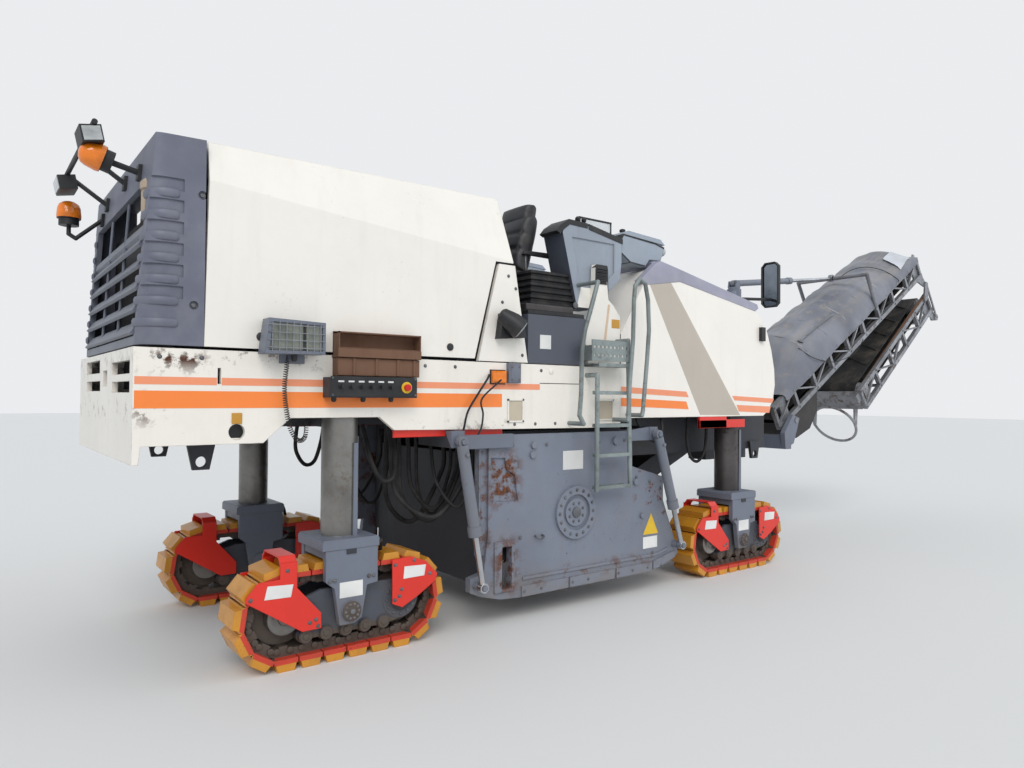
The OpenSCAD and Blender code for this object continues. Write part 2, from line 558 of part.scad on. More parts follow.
module rear_lights() color("orange") {
  for (y = [447, -172]) {
    clamp(y, 2730);
    pipe([[lean_x(2730) - 10, y, 2730], [back_x - 150, y, 2885]], 14);
  }
  ycyl(back_x - 150, 2885, -700, 500, 14);
  // near lamp and far lamp, both on the cross bar
  wall([[back_x - 200, 2775], [back_x - 218, 2860], [back_x - 120, 2880], [back_x - 102, 2795]], -690, 175);
  wall([[back_x - 190, 2780], [back_x - 208, 2865], [back_x - 110, 2885], [back_x - 92, 2800]], 400, 210);
  // near beacon, folded down on its arm
  clamp(-600, 2690);
  pipe([[lean_x(2690) - 10, -600, 2690], [back_x - 60, -600, 2720]], 16);
  translate([back_x - 55, -600, 2715]) rotate([0, -73, 0]) beacon();
  // far beacon, upright on its arm
  clamp(600, 2660);
  pipe([[lean_x(2660) - 10, 600, 2660], [back_x - 80, 600, 2520], [back_x - 120, 600, 2545], [back_x - 120, 600, 2600]], 13);
  translate([back_x - 120, 600, 2598]) beacon();
}

// leg: column, yoke, track frame and guards, with the leg's axis at x, s * leg_y
wheel_r = track_h / 2 - pad_t - shoe_t - link_t - fit_gap;
half_run = (track_len - track_h) / 2;
axle_z = track_h / 2;
cheek_y = track_w / 2 + run_gap;
frame_y = link_w / 2 + 6;
guard_rear = [[-587, 413], [-582, 440], [-520, 510], [-401, 513], [-401, 600], [-306, 600], [-305, 455], [-164, 294],
  [-163, 209], [-273, 207]];
guard_front = [[283, 270], [280, 533], [409, 540], [515, 497], [595, 411], [581, 370], [461, 296], [350, 240]];
module leg(x, s) translate([x, s * leg_y, 0]) scale([1, s, 1]) {
  color("silver") {
    translate([0, 0, yoke_z - 1]) cylinder(r = column_r, h = column_len);
    translate([45, 60, yoke_z - 1]) cube([28, column_r - 61, skirt_z - 60 - yoke_z]);
  }
  color("slategray") {
    wall([[-175, yoke_z - 60], [175, yoke_z - 60], [175, yoke_z - 12], [163, yoke_z], [-163, yoke_z], [-175, yoke_z - 12]],
      -cheek_y - cheek_t - 3, 2 * (cheek_y + cheek_t + 3));
    box(-150, 150, -cheek_y - 1, cheek_y + 1, yoke_z - 110, yoke_z - 59);
    both() wall([[-155, yoke_z - 59], [166, yoke_z - 59], [168, 430], [100, 420], [69, 240], [25, 212], [-67, 212], [-100, 424], [-153, 467]],
      cheek_y, cheek_t);
    // knuckle that the track frame hangs on
    ycyl(0, axle_z, -cheek_y - 1, cheek_y + 1, 50);
    both() ycyl(0, axle_z, cheek_y + cheek_t - 1, cheek_y + cheek_t + 15, 58);
    both() wall([[-235, 150], [-262, 195], [-262, 340], [-235, 385], [-150, 415], [150, 415], [357, 405], [357, 170], [262, 150]],
      frame_y, frame_t);
    // tensioner fork and idler, drive drum, rollers
    both() box(-half_run - 20, -150, 36, 62, axle_z - 28, axle_z + 28);
    box(-185, -150, -frame_y - 1, frame_y + 1, axle_z - 40, axle_z + 40);
    ycyl(-half_run, axle_z, -30, 30, wheel_r);
    both() ycyl(-half_run, axle_z, 29, frame_y + 20, 96);
    ycyl(half_run, axle_z, -30, 30, wheel_r);
    ycyl(half_run, axle_z, -frame_y - frame_t - 2, frame_y + frame_t + 2, 118);
    ycyl(half_run, axle_z, -frame_y - frame_t - 14, frame_y + frame_t + 14, 70);
    for (i = [-1:1]) ycyl(i * 120, axle_z - wheel_r + 43.7, -frame_y - 1, frame_y + 1, 44);
    both() for (i = [-2, 2]) ycyl(i * 120, axle_z - wheel_r + 43.7, 36, frame_y + 1, 44);
    both() for (i = [-2:2]) ycyl(i * 120, axle_z - wheel_r + 43.7, frame_y + 1, frame_y + frame_t + 12, 40);
    both() box(-232, -172, frame_y + frame_t - 1, cheek_y + 1, 215, 280);
    both() box(290, 350, frame_y + frame_t - 1, cheek_y + 1, 300, 380);
  }
  // guards, the rear pair joined by a strap over the track
  color("firebrick") {
    both() for (g = [guard_rear, guard_front]) wall(g, cheek_y, guard_t);
    cross([[-cheek_y - guard_t, 560], [-cheek_y - guard_t, 588], [-112, 632], [112, 632], [cheek_y + guard_t, 588],
      [cheek_y + guard_t, 560], [cheek_y, 560], [cheek_y, 585], [108, 624], [-108, 624], [-cheek_y, 585], [-cheek_y, 560]],
      -401, 95);
  }
}
// track: one loop
module stadium(r) {
  for (i = [-1, 1]) translate([i * half_run, axle_z]) circle(r = r);
  translate([-half_run, axle_z - r]) square([2 * half_run, 2 * r]);
}
loop_r = track_h / 2 - pad_t;
run = 4 * half_run + 2 * PI * loop_r;
function at(d) = d < 2 * half_run ? [-half_run + d, axle_z + loop_r, 0]
  : d < 2 * half_run + PI * loop_r ? arc(half_run, (d - 2 * half_run) / loop_r * 180 / PI)
  : d < 4 * half_run + PI * loop_r ? [half_run - (d - 2 * half_run - PI * loop_r), axle_z - loop_r, 180]
  : arc2((d - 4 * half_run - PI * loop_r) / loop_r * 180 / PI);
function arc(x, a) = [x + loop_r * sin(a), axle_z + loop_r * cos(a), a];
function arc2(a) = [-half_run - loop_r * sin(a), axle_z - loop_r * cos(a), 180 + a];
shoe_l = run / shoe_n - 8;
pad_l = shoe_l - 18;
module round_loop() for (i = [0:shoe_n - 1]) {
  p = at(run * (i + 0.5) / shoe_n);
  translate([p[0], p[1]]) rotate(-p[2]) children();
}
module track(x, s) translate([x, s * leg_y, 0]) {
  color("firebrick") translate([0, track_w / 2, 0]) rotate([90, 0, 0]) linear_extrude(track_w) round_loop()
    polygon([[-shoe_l / 2, -shoe_t], [shoe_l / 2, -shoe_t], [shoe_l / 2, 0], [pad_l / 2, 0], [pad_l / 2 - 10, pad_t],
      [-pad_l / 2 + 10, pad_t], [-pad_l / 2, 0], [-shoe_l / 2, 0]]);
  color("saddlebrown") translate([0, link_w / 2, 0]) rotate([90, 0, 0]) linear_extrude(link_w) {
    difference() {
      stadium(loop_r - shoe_t + 4);
      stadium(loop_r - shoe_t - link_t + 16);
    }
    round_loop() translate([-25, -shoe_t - link_t]) square([50, link_t + 2]);
  }
}

// tool: holder welded to the shell, with its pick
module tool() {
  wall([[-48, shell_r - 14], [36, shell_r - 14], [20, shell_r + 48], [-24, shell_r + 58]], -17, 34);
  translate([-8, 0, shell_r + 34]) rotate([0, 40, 0]) {
    for (k = [[19, 0.65], [10, 1]]) cylinder(r = k[0], h = k[1] * (drum_r - shell_r - 40) / cos(40), $fn = 6);
  }
}
module milling_drum() color("dimgray") {
  ycyl(drum_x, drum_z, -drum_half, drum_half, shell_r);
  ycyl(drum_x, drum_z, -house_y - house_t + 5, house_y + house_t - 5, 90);
  both() ycyl(drum_x, drum_z, drum_half - 24, drum_half, shell_r + 30);
  for (i = [0:tool_n - 1], j = [0:2])
    translate([drum_x, -drum_half + 45 + i * (2 * drum_half - 90) / (tool_n - 1), drum_z])
      rotate([0, j * 120 + abs(i - (tool_n - 1) / 2) * 13, 0]) tool();
}
module scraper() color("slategray") {
  box(scr_x - 75, scr_x - 35, -scr_y - 30, scr_y + 30, 230, 1120);
  both() for (z = [700, 1020]) difference() {
    box(scr_x - 36, scr_x + 32, scr_y - 32, scr_y + 32, z, z + 60);
    translate([scr_x, scr_y, 0]) cylinder(r = 20 + fit_gap, h = 2000);
  }
}
// plate cylinders: top pin, bottom pin
r1 = [[drum_x - 1033, 1230], [drum_x - 863, 292]];
r2 = [[drum_x + 780, 1230], [drum_x + 1062, 344]];
// bosses on the side plate: x, z, radius
bosses = [[-390, 1185, 24], [-400, 1118, 24], [400, 1190, 30], [620, 868, 26], [690, 602, 20]];
module side_plate(s) scale([1, s, 1]) color("slategray") translate([drum_x, 0, 0]) {
  difference() {
    wall([[-766, plate_top_z], [585, plate_top_z], [585, 990], [700, 955], [938, 890], [938, 702], [1096, 327], [1121, 267],
      [1070, 225], [906, plate_z + 20], [-497, plate_z], [-665, plate_z + 12], [-827, 210], [-905, 245], [-905, 335],
      [-800, 360], [-766, 600]], plate_y - plate_t, plate_t);
    wall([[-747, 1111], [-632, 1106], [-615, 1025], [-547, 988], [-520, 817], [-588, 809], [-745, 821]], plate_y - 14, 20);
    box(-655, -575, plate_y - plate_t - 1, plate_y + 1, 235, 512);
  }
  // frame around the slot
  difference() {
    box(-717, -548, plate_y - 1, plate_y + 9, 214, 552);
    box(-655, -575, plate_y - 2, plate_y + 10, 235, 512);
  }
  // bearing ring around the drum's axis, with its cover
  difference() {
    ycyl(0, drum_z, plate_y - 1, plate_y + 20, 190);
    ycyl(0, drum_z, plate_y - 1, plate_y + 21, 128);
  }
  ycyl(0, drum_z, plate_y - 1, plate_y + 13, 100);
  // ridge and skid shoes
  wall([[-480, 272], [860, 272], [985, 302], [978, 322], [856, 294], [-480, 294]], plate_y - 1, 11);
  for (k = [[-490, -75], [-55, 390], [410, 800]])
    wall([[k[0], plate_z + 5], [k[1], plate_z + 5], [k[1], plate_z + 78], [k[0], plate_z + 78]], plate_y - 1, 15);
  wall([[815, plate_z + 18], [880, plate_z + 24], [1035, 228], [1078, 268], [1060, 290], [815, plate_z + 80]], plate_y - 1, 15);
  for (b = bosses) ycyl(b[0], b[1], plate_y - 1, plate_y + 16, b[2]);
  // rear channel
  box(-840, -765, plate_y - plate_t, plate_y - 18, 470, 1235);
  box(-840, -828, plate_y - plate_t, plate_y - 2, 470, 1235);
  translate([-drum_x, 0, 0]) for (c = [r1, r2]) {
    ycyl(c[1][0], c[1][1], plate_y - 1, cyl_y + 32, pin_r);
    ycyl(c[1][0], c[1][1], plate_y - 1, cyl_y - 30, 27);
  }
}
function dir(c) = (c[1] - c[0]) / norm(c[1] - c[0]);
function on(c, d) = [c[0][0] + dir(c)[0] * d, cyl_y, c[0][1] + dir(c)[1] * d];
module barrel(c, s) scale([1, s, 1]) color("gray") difference() {
  union() {
    bar(on(c, 20), on(c, 600), barrel_r);
    bar(on(c, 545), on(c, 610), barrel_r + 7);
    ycyl(c[0][0], c[0][1], cyl_y - 22, cyl_y + 22, 36);
    translate(on(c, 80)) rotate([-90, 0, 0]) cylinder(r = 13, h = barrel_r + 16);
  }
  ycyl(c[0][0], c[0][1], cyl_y - 30, cyl_y + 30, pin_r + fit_gap);
  bar(on(c, 110), on(c, 700), rod_r + fit_gap);
}
module rod(c, s) scale([1, s, 1]) color("silver") difference() {
  union() {
    bar(on(c, 130), on(c, norm(c[1] - c[0]) - 20), rod_r);
    ycyl(c[1][0], c[1][1], cyl_y - 22, cyl_y + 22, 32);
  }
  ycyl(c[1][0], c[1][1], cyl_y - 30, cyl_y + 30, pin_r + eye_play);
}

// discharge conveyor
module along() translate([lift_x, 0, lift_z]) rotate([0, -rise, 0]) children();
module folded() along() translate([conv_len + 10, 0, -hinge_drop]) rotate([0, 180 - fold_short, 0])
  translate([10, 0, hinge_drop]) children();
module slew_yoke() color("slategray") {
  difference() {
    union() {
      translate([slew_x, 0, skirt_z - 309]) cylinder(r = 130, h = 158);
      box(slew_x, slew_x + 300, -100, 100, skirt_z - 309, skirt_z - 151);
      box(slew_x + 200, slew_x + 300, -conv_half - 70, conv_half + 70, skirt_z - 309, skirt_z - 165);
      both() wall([[slew_x + 200, skirt_z - 309], [slew_x + 180, skirt_z - 140], [lift_x - 60, lift_z + 60],
        [lift_x + 60, lift_z + 20], [slew_x + 350, skirt_z - 250]], conv_half + 20, 50);
      translate([slew_x, 0, skirt_z - 420]) cylinder(r = 45, h = 380);
    }
    both() ycyl(lift_x, lift_z, conv_half, conv_half + 100, 30 + fit_gap);
  }
  // swivel head on the mast, with the lift cylinder's pin
  translate([slew_x, 0, mast_z - 60]) cylinder(r = 30, h = 130);
  translate([slew_x, 0, mast_z + 50 + fit_gap]) cylinder(r = 62, h = 22);
  both() wall([[la[0] - 40, mast_z + 70], [la[0] - 26, la[2] + 26], [la[0] + 26, la[2] + 26], [la[0] + 40, mast_z + 70]], 38, 16);
  ycyl(la[0], la[2], -54, 54, 16);
}
// side frame: two tubes, posts and a zigzag of flats
module side(l, h) {
  for (z = [0, h - chord]) translate([0, 0, z]) cube([l, chord, chord]);
  n = round(l / 420);
  p = (l - 40) / n;
  for (i = [0:n]) translate([i * p, 0, 0]) cube([40, chord - 6, h]);
  for (i = [0:n - 1]) translate([i * p, 0, 0])
    wall(i % 2 == 0 ? [[30, chord - 2], [70, chord - 2], [p + 10, h - chord + 2], [p - 30, h - chord + 2]]
      : [[30, h - chord + 2], [70, h - chord + 2], [p + 10, chord - 2], [p - 30, chord - 2]], 10, chord - 22);
}
belt_z = 125;
module loop(l) ybelt(l, roll_r + belt_t, 2 * belt_half);
module ybelt(l, r, w) translate([0, w / 2, 0]) rotate([90, 0, 0]) linear_extrude(w) difference() {
  flat(l, r);
  flat(l, r - belt_t);
}
module flat(l, r) {
  for (x = [0, l]) translate([x, belt_z]) circle(r = r);
  translate([0, belt_z - r]) square([l, 2 * r]);
}
module rollers(l) for (x = [0, l]) {
  ycyl(x, belt_z, -belt_half - 10, belt_half + 10, roll_r - fit_gap);
  ycyl(x, belt_z, -conv_half + chord - 1, conv_half - chord + 1, 30);
  both() translate([x - 60, conv_half - chord, 1]) cube([120, 20, frame_h - 2]);
}
module conveyor_frame() color("silver") along() {
  difference() {
    both() {
      translate([-200, conv_half - chord, 0]) side(conv_len + 200, frame_h);
      // ears of the fold hinge
      wall([[conv_len - 160, 1], [conv_len - 1, 1], [conv_len + 40, -hinge_drop], [conv_len + 20, -hinge_drop - 40],
        [conv_len - 20, -hinge_drop - 20]], conv_half - 20, 20);
      wall([[conv_len - 60, frame_h - 60], [conv_len + 20, frame_h - 60], [conv_len + 50, frame_h + 10], [conv_len + 20, frame_h + 40],
        [conv_len - 6, frame_h + 14], [conv_len - 6, frame_h - 1], [conv_len - 60, frame_h - 10]], conv_half - chord - 24, 20);
      translate([conv_len - 60, conv_half - chord - 10, frame_h - 60]) cube([56, 30, 46]);
      // lift pivot
      translate([-60, conv_half - chord, -60]) cube([120, chord, 61]);
    }
    both() ycyl(conv_len + 10, -hinge_drop, conv_half - 50, conv_half + 50, fold_pin + fit_gap);
  }
  both() ycyl(0, 0, conv_half - chord, conv_half + 78, 30);
  for (x = [420:700:conv_len - 200]) translate([x, -conv_half + chord - 1, 250]) cube([40, 2 * conv_half - 2 * chord + 2, 20]);
  rollers(conv_len - 110);
  // receiving hopper, a belly under the foot
  difference() {
    wall([[-90, 2], [-90, -130], [60, -270], [340, -320], [560, -230], [700, 2]], -conv_half + chord - 1, 2 * (conv_half - chord + 1));
    wall([[-80, 12], [-80, -126], [64, -260], [336, -309], [552, -224], [687, 12]], -conv_half + chord + 9, 2 * (conv_half - chord - 9));
  }
  // bridge over the cover, which the lift cylinder holds
  both() pipe([[bridge, conv_half + 22, frame_h - 60], [bridge, conv_half + 22, bridge_h], [bridge, 34, bridge_h]], 22);
  both() translate([bridge - 22, conv_half - 10, frame_h - 90]) cube([44, 40, 60]);
  ycyl(bridge, bridge_h, -40, 40, 13);
}
fold_pin = 18;
module conveyor_belt() color("black") along() loop(conv_len - 110);
// cover: along, height on the middle, at the quarter, near the edge
hoops = [[45, 24, 22, 18], [700, 400, 350, 200], [conv_len - 250, 255, 225, 90], [conv_len - 20, 40, 36, 24]];
module hoop(h, t) translate([h[0] + (t > 0 ? (h[0] < 100 ? -20 : (h[0] > conv_len - 60 ? 12 : 0)) : 0), 0, frame_h + fit_gap]) {
  translate([0, -conv_half + t, -t * 4]) cube([8, 2 * (conv_half - t), max(h[3] * 0.5, 10) + t * 3]);
  translate([0, -conv_half + 45 + t, -t * 4]) cube([8, 2 * (conv_half - 45 - t), h[3] + t * 3]);
  translate([0, -210, -t * 4]) cube([8, 420, h[2] + t * 3]);
  translate([0, -40, -t * 4]) cube([8, 80, h[1] + t * 3]);
}
module conveyor_cover() color("dimgray") along() difference() {
  for (i = [0:2]) hull() { hoop(hoops[i], 0); hoop(hoops[i + 1], 0); }
  for (i = [0:2]) hull() { hoop(hoops[i], 20); hoop(hoops[i + 1], 20); }
}
module fold_frame() color("silver") folded() {
  both() {
    translate([0, conv_half - chord, 0]) side(fold_len, frame_h);
    wall([[1, 1], [160, 1], [20, -hinge_drop - 20], [-20, -hinge_drop - 36], [-50, -hinge_drop]], conv_half + fit_gap, 20);
    wall([[60, 0], [160, 0], [160, chord], [60, chord]], conv_half - 1, 22);
    ycyl(-10, -hinge_drop, conv_half - 40, conv_half + 10, fold_pin);
    wall([[0, frame_h - 1], [130, frame_h - 1], [30, frame_h + 130], [-40, frame_h + 130]], conv_half - 30, 20);
    ycyl(-11, frame_h + 117, conv_half - 60, conv_half + 10, 42);
    // strut from the hinge to the outer lug
    wall([[-44, -hinge_drop], [-14, -hinge_drop], [4, frame_h + 117], [-26, frame_h + 117]], conv_half + fit_gap, 14);
    // arms that carry the hoop
    wall([[fold_len - 60, frame_h - 40], [fold_len - 2, frame_h - 40], [fold_len + 130, frame_h + 150], [fold_len + 130, frame_h + 190],
      [fold_len + 90, frame_h + 190], [fold_len - 60, frame_h + 20]], hoop_r - 8, 16);
    wall([[fold_len - 60, frame_h - 44], [fold_len - 4, frame_h - 44], [fold_len - 4, frame_h - 4], [fold_len - 60, frame_h - 4]],
      hoop_r - 8, conv_half - chord - hoop_r + 10);
  }
  translate([fold_len + 110, 0, frame_h + 160]) rotate([0, 90, 0]) rotate_extrude() translate([hoop_r, 0]) circle(r = 16);
  // head plate with its box
  translate([fold_len - 4, -conv_half + chord, 20]) cube([24, 2 * conv_half - 2 * chord, frame_h - 30]);
  both() translate([fold_len - 8, conv_half - 120, 30]) cube([90, 90, 110]);
  for (x = [300:700:fold_len]) translate([x, -conv_half + chord - 1, 250]) cube([40, 2 * conv_half - 2 * chord + 2, 20]);
  translate([120, 0, 0]) rollers(fold_len - 280);
}
module fold_belt() color("black") folded() translate([120, 0, 0]) loop(fold_len - 280);
la = [slew_x, 0, mast_z + 115];
lb = [lift_x + bridge * cos(rise) - bridge_h * sin(rise), 0, lift_z + bridge * sin(rise) + bridge_h * cos(rise)];
ldir = (lb - la) / norm(lb - la);
module lift_barrel() color("gray") difference() {
  union() {
    bar(la + ldir * 30, la + ldir * 1060, 34);
    bar(la + ldir * 1000, la + ldir * 1070, 40);
    ycyl(la[0], la[2], -24, 24, 36);
  }
  ycyl(la[0], la[2], -30, 30, 16 + fit_gap);
  bar(la + ldir * 100, la + ldir * 1200, 20 + fit_gap);
}
module lift_rod() color("silver") difference() {
  union() {
    bar(la + ldir * 560, lb - ldir * 20, 20);
    slot_eye(24, 32);
  }
  slot_eye(30, 16 + fit_gap);
}
// long eye, in which the pin rides while the conveyor is lifted
module slot_eye(w, r) hull() for (q = [-1, slot]) ycyl(lb[0] - ldir[2] * q, lb[2] + ldir[0] * q, -w, w, r);
slot = 20;

chassis_frame();
engine_block();
rear_skirt();
front_tank();
front_cover();
platform();
seats();
consoles();
ladders();
mirrors();
side_boxes();
drum_housing();
primary_conveyor();
engine_hood();
hood_grille();
rear_lights();
leg(rear_x, -1);  // leg_rr
leg(rear_x, 1);  // leg_rl
leg(front_x, -1);  // leg_fr
leg(front_x, 1);  // leg_fl
track(rear_x, -1);  // track_rr
track(rear_x, 1);  // track_rl
track(front_x, -1);  // track_fr
track(front_x, 1);  // track_fl
milling_drum();
scraper();
side_plate(-1);  // side_plate_r
side_plate(1);  // side_plate_l
barrel(r1, -1);  // barrel_r1
barrel(r2, -1);  // barrel_r2
barrel(r1, 1);  // barrel_l1
barrel(r2, 1);  // barrel_l2
rod(r1, -1);  // rod_r1
rod(r2, -1);  // rod_r2
rod(r1, 1);  // rod_l1
rod(r2, 1);  // rod_l2
slew_yoke();
conveyor_frame();
conveyor_belt();
conveyor_cover();
fold_frame();
fold_belt();
lift_barrel();
lift_rod();
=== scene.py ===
import bpy
import bmesh
import numpy as np
from math import copysign, cos, exp, hypot, pi, radians, sin
from mathutils import Matrix, Vector, noise


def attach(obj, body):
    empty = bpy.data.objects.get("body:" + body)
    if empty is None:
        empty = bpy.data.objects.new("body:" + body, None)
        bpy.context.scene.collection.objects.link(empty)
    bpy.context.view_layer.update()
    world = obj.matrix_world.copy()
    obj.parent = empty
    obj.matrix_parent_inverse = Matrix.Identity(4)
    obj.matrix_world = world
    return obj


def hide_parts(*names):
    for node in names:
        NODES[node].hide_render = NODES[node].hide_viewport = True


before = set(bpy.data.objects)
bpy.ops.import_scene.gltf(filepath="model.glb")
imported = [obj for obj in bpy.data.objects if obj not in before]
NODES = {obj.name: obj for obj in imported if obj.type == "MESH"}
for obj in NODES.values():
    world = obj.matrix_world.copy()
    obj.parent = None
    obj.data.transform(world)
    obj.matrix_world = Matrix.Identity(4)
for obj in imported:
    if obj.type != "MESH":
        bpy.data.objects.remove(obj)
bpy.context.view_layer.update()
MM = 0.001

# places of the solids, in millimetres
FX, RX, HALF, LEG_Y, AXLE = 10, -3680, 925, 785, 287.5
BACK, DRUM_X, DRUM_Z, NOSE, MID = -4820, -1930, 690, 540, -1470
HOOD0, SEAT_X, LIFT_X, LIFT_Z = -4490, -2810, 1586, 1289
RISE = radians(31.2)
CONV_HALF, CONV_LEN, FRAME_H, FOLD_LEN, FOLD_TURN = 425, 3560, 280, 2170, radians(174)
HALF_RUN, LOOP_R, CHEEK, PLATE_Y, SHOES = 357.5, 247.5, 142, 930, 21
HOOD_LOW, HOOD_HIGH, SEAT_Y, BOX_TOP, STOP_X, STOP_Z = 1764, 2825, 446, 1640, RX + 315, 1566
LATTICE_STEP, CLEAT_STEP, BOW_STEP = 420, 320, 437
ENDS = (("r", RX), ("f", FX))
OUT, UP = (0, 1, 0), (0, 0, 1)


def link(name, data):
    """Puts a new object into the scene."""
    o = bpy.data.objects.new(name, data)
    bpy.context.scene.collection.objects.link(o)
    return o


def camera():
    """Focal length 738 px over 1024, fitted to the photo's verticals and edges."""
    heading, pitch, roll = radians(52.94), radians(0.95), radians(0.42)
    f = Vector((cos(heading) * cos(pitch), sin(heading) * cos(pitch), sin(pitch)))
    right = f.cross(Vector(UP)).normalized()
    up = right.cross(f)
    r, u = right * cos(roll) + up * sin(roll), up * cos(roll) - right * sin(roll)
    data = bpy.data.cameras.new("camera")
    data.sensor_width, data.lens = 36, 738 / 1024 * 36
    data.clip_start, data.clip_end = 0.05, 200
    cam = link("camera", data)
    cam.matrix_world = Matrix(((r.x, u.x, -f.x, -5.51), (r.y, u.y, -f.y, -4.905), (r.z, u.z, -f.z, 1.52),
        (0, 0, 0, 1)))
    bpy.context.scene.camera = cam


camera()


# materials
def rgb(c, f=None):
    """A colour of 0 to 255, made darker or lighter by f."""
    c = [int(x * f) / 255 if f else x / 255 for x in c]
    return tuple(x / 12.92 if x <= 0.04045 else ((x + 0.055) / 1.055) ** 2.4 for x in c) + (1,)


class Mat:
    """A node material on object coordinates, which are the frame's own at rest."""

    def __init__(s, name, rough=0.5, metal=0.0, coat=0.0):
        s.m = bpy.data.materials.new(name)
        s.m.use_nodes = True
        s.n, s.l = s.m.node_tree.nodes, s.m.node_tree.links
        s.b = s.n["Principled BSDF"]
        s.b.inputs["Roughness"].default_value = rough
        s.b.inputs["Metallic"].default_value = metal
        s.b.inputs["Coat Weight"].default_value = coat
        s.co, s.bev = s.n.new("ShaderNodeTexCoord").outputs["Object"], None

    def wire(s, n, inputs, out=0):
        """Gives a node's inputs their numbers, colours or links, and returns one output."""
        for name, v in inputs.items():
            if isinstance(v, (int, float, tuple)):
                n.inputs[name].default_value = v
            elif v is not None:
                s.l.new(v, n.inputs[name])
        return n.outputs[out]

    def node(s, kind, inputs, out=0):
        return s.wire(s.n.new("ShaderNode" + kind), inputs, out)

    def noise(s, scale, detail=3, rough=0.55, stretch=None):
        co = s.node("Mapping", {"Scale": stretch, "Vector": s.co}) if stretch else s.co
        return s.node("TexNoise", {"Scale": scale, "Detail": detail, "Roughness": rough, "Vector": co},
            "Fac")

    def wave(s, scale, direction):
        n = s.n.new("ShaderNodeTexWave")
        n.bands_direction = direction
        return s.wire(n, {"Scale": scale, "Vector": s.co}, "Fac")

    def step(s, v, lo, hi):
        return s.node("MapRange", {"From Min": lo, "From Max": hi, "Value": v})

    def patch(s, scale, detail, rough, lo, hi):
        """Noise cut to soft patches."""
        return s.step(s.noise(scale, detail, rough), lo, hi)

    def op(s, kind, a, b):
        n = s.n.new("ShaderNodeMath")
        n.operation = kind
        return s.wire(n, {0: a, 1: b})

    def mul(s, a, b):
        return s.op("MULTIPLY", a, b)

    def add(s, a, b):
        return s.op("ADD", a, b)

    def most(s, a, b):
        return s.op("MAXIMUM", a, b)

    def axis(s, i, v=None):
        return s.node("SeparateXYZ", {0: v or s.co}, i)

    def zone(s, x0, x1, z0, z1, soft=0.05):
        """1 inside a box of X and Z in millimetres, with soft borders."""
        x0, x1, z0, z1 = x0 * MM, x1 * MM, z0 * MM, z1 * MM
        x, z = s.axis(0), s.axis(2)
        return s.mul(s.mul(s.step(x, x0 - soft, x0 + soft), s.step(x, x1 + soft, x1 - soft)),
            s.mul(s.step(z, z0 - soft, z0 + soft), s.step(z, z1 + soft, z1 - soft)))

    def mix(s, fac, a, b):
        n = s.n.new("ShaderNodeMix")
        n.data_type = "RGBA"
        return s.wire(n, {0: fac, 6: a, 7: b}, 2)

    def edges(s, radius):
        """1 at the edges of the form, which the shader rounds."""
        n, d = s.n.new("ShaderNodeBevel"), s.n.new("ShaderNodeVectorMath")
        n.samples, d.operation = 4, "DOT_PRODUCT"
        s.bev = s.wire(n, {"Radius": radius})
        true = s.node("NewGeometry", {}, "True Normal")
        return s.step(s.wire(d, {0: s.bev, 1: true}, "Value"), 0.992, 0.88)

    def finish(s, colour, height, strength, distance, rough=None):
        """Links colour, bump and roughness to the shader."""
        bump = s.node("Bump", {"Strength": strength, "Distance": distance, "Height": height,
            "Normal": s.bev})
        s.wire(s.b, {"Base Color": colour, "Normal": bump, "Roughness": rough})
        return s.m


def paint(name, col, rough, chips, streak, grime, edge, grime_col=(112, 98, 82), fade=0.14,
        rust=(112, 66, 42), low=None, metal=0.0, coat=0.0, zones=()):
    """Paint with tone changes, streaks, grime, chips down to rust, and worn edges."""
    m = Mat(name, rough, metal, coat)
    c = rgb(col)
    dark = tuple(x * (1 - fade) for x in c[:3]) + (1,)
    base = m.mix(m.patch(1.6, 5, 0.6, 0.35, 0.68), c, dark)
    streaks = m.mul(m.step(m.noise(1.0, 6, 0.62, (11, 11, 0.8)), 0.52, 0.78), streak)
    dirt = m.most(streaks, m.mul(m.patch(4.5, 7, 0.68, 0.48, 0.78), grime))
    if low:
        fall = m.mul(m.step(m.axis(2), low[1], low[0]), m.patch(7, 6, 0.7, 0.32, 0.66))
        dirt = m.most(dirt, m.mul(fall, 0.75))
    base = m.mix(dirt, base, rgb(grime_col))
    fine = m.noise(46, 8, 0.72)
    wear = m.mul(m.step(fine, 0.60, 0.66), m.mul(m.patch(3.1, 4, 0.6, 0.53, 0.62), chips * 2.2))
    if edge:
        wear = m.most(wear, m.mul(m.edges(0.006), m.mul(m.patch(15, 6, 0.7, 0.46, 0.60), edge)))
    for x0, x1, z0, z1, amount in zones:
        spots = m.patch(11, 8, 0.7, 0.60 - 0.18 * amount, 0.66 - 0.14 * amount)
        wear = m.most(wear, m.mul(m.zone(x0, x1, z0, z1), spots))
    wear = m.op("MINIMUM", wear, 1.0)
    rusty = m.mix(m.step(fine, 0.42, 0.6), rgb(rust), rgb(rust, 0.55))
    rough = m.most(m.add(m.mul(dirt, 0.5), rough), m.mul(wear, 0.85))
    height = m.op("SUBTRACT", m.mul(m.noise(140, 4, 0.6), 0.12), m.mul(wear, 0.6))
    return m.finish(m.mix(wear, base, rusty), height, 0.35, 0.0016, rough)


def rubber(name, col, dust, dust_col=(104, 96, 86), grain=160):
    m = Mat(name, 0.72)
    base = m.mix(m.patch(3, 5, 0.55, 0.38, 0.66), rgb(col), rgb(col, 1.5))
    colour = m.mix(m.mul(m.patch(6, 7, 0.68, 0.46, 0.72), dust), base, rgb(dust_col))
    return m.finish(colour, m.noise(grain, 4), 0.25, 0.001)


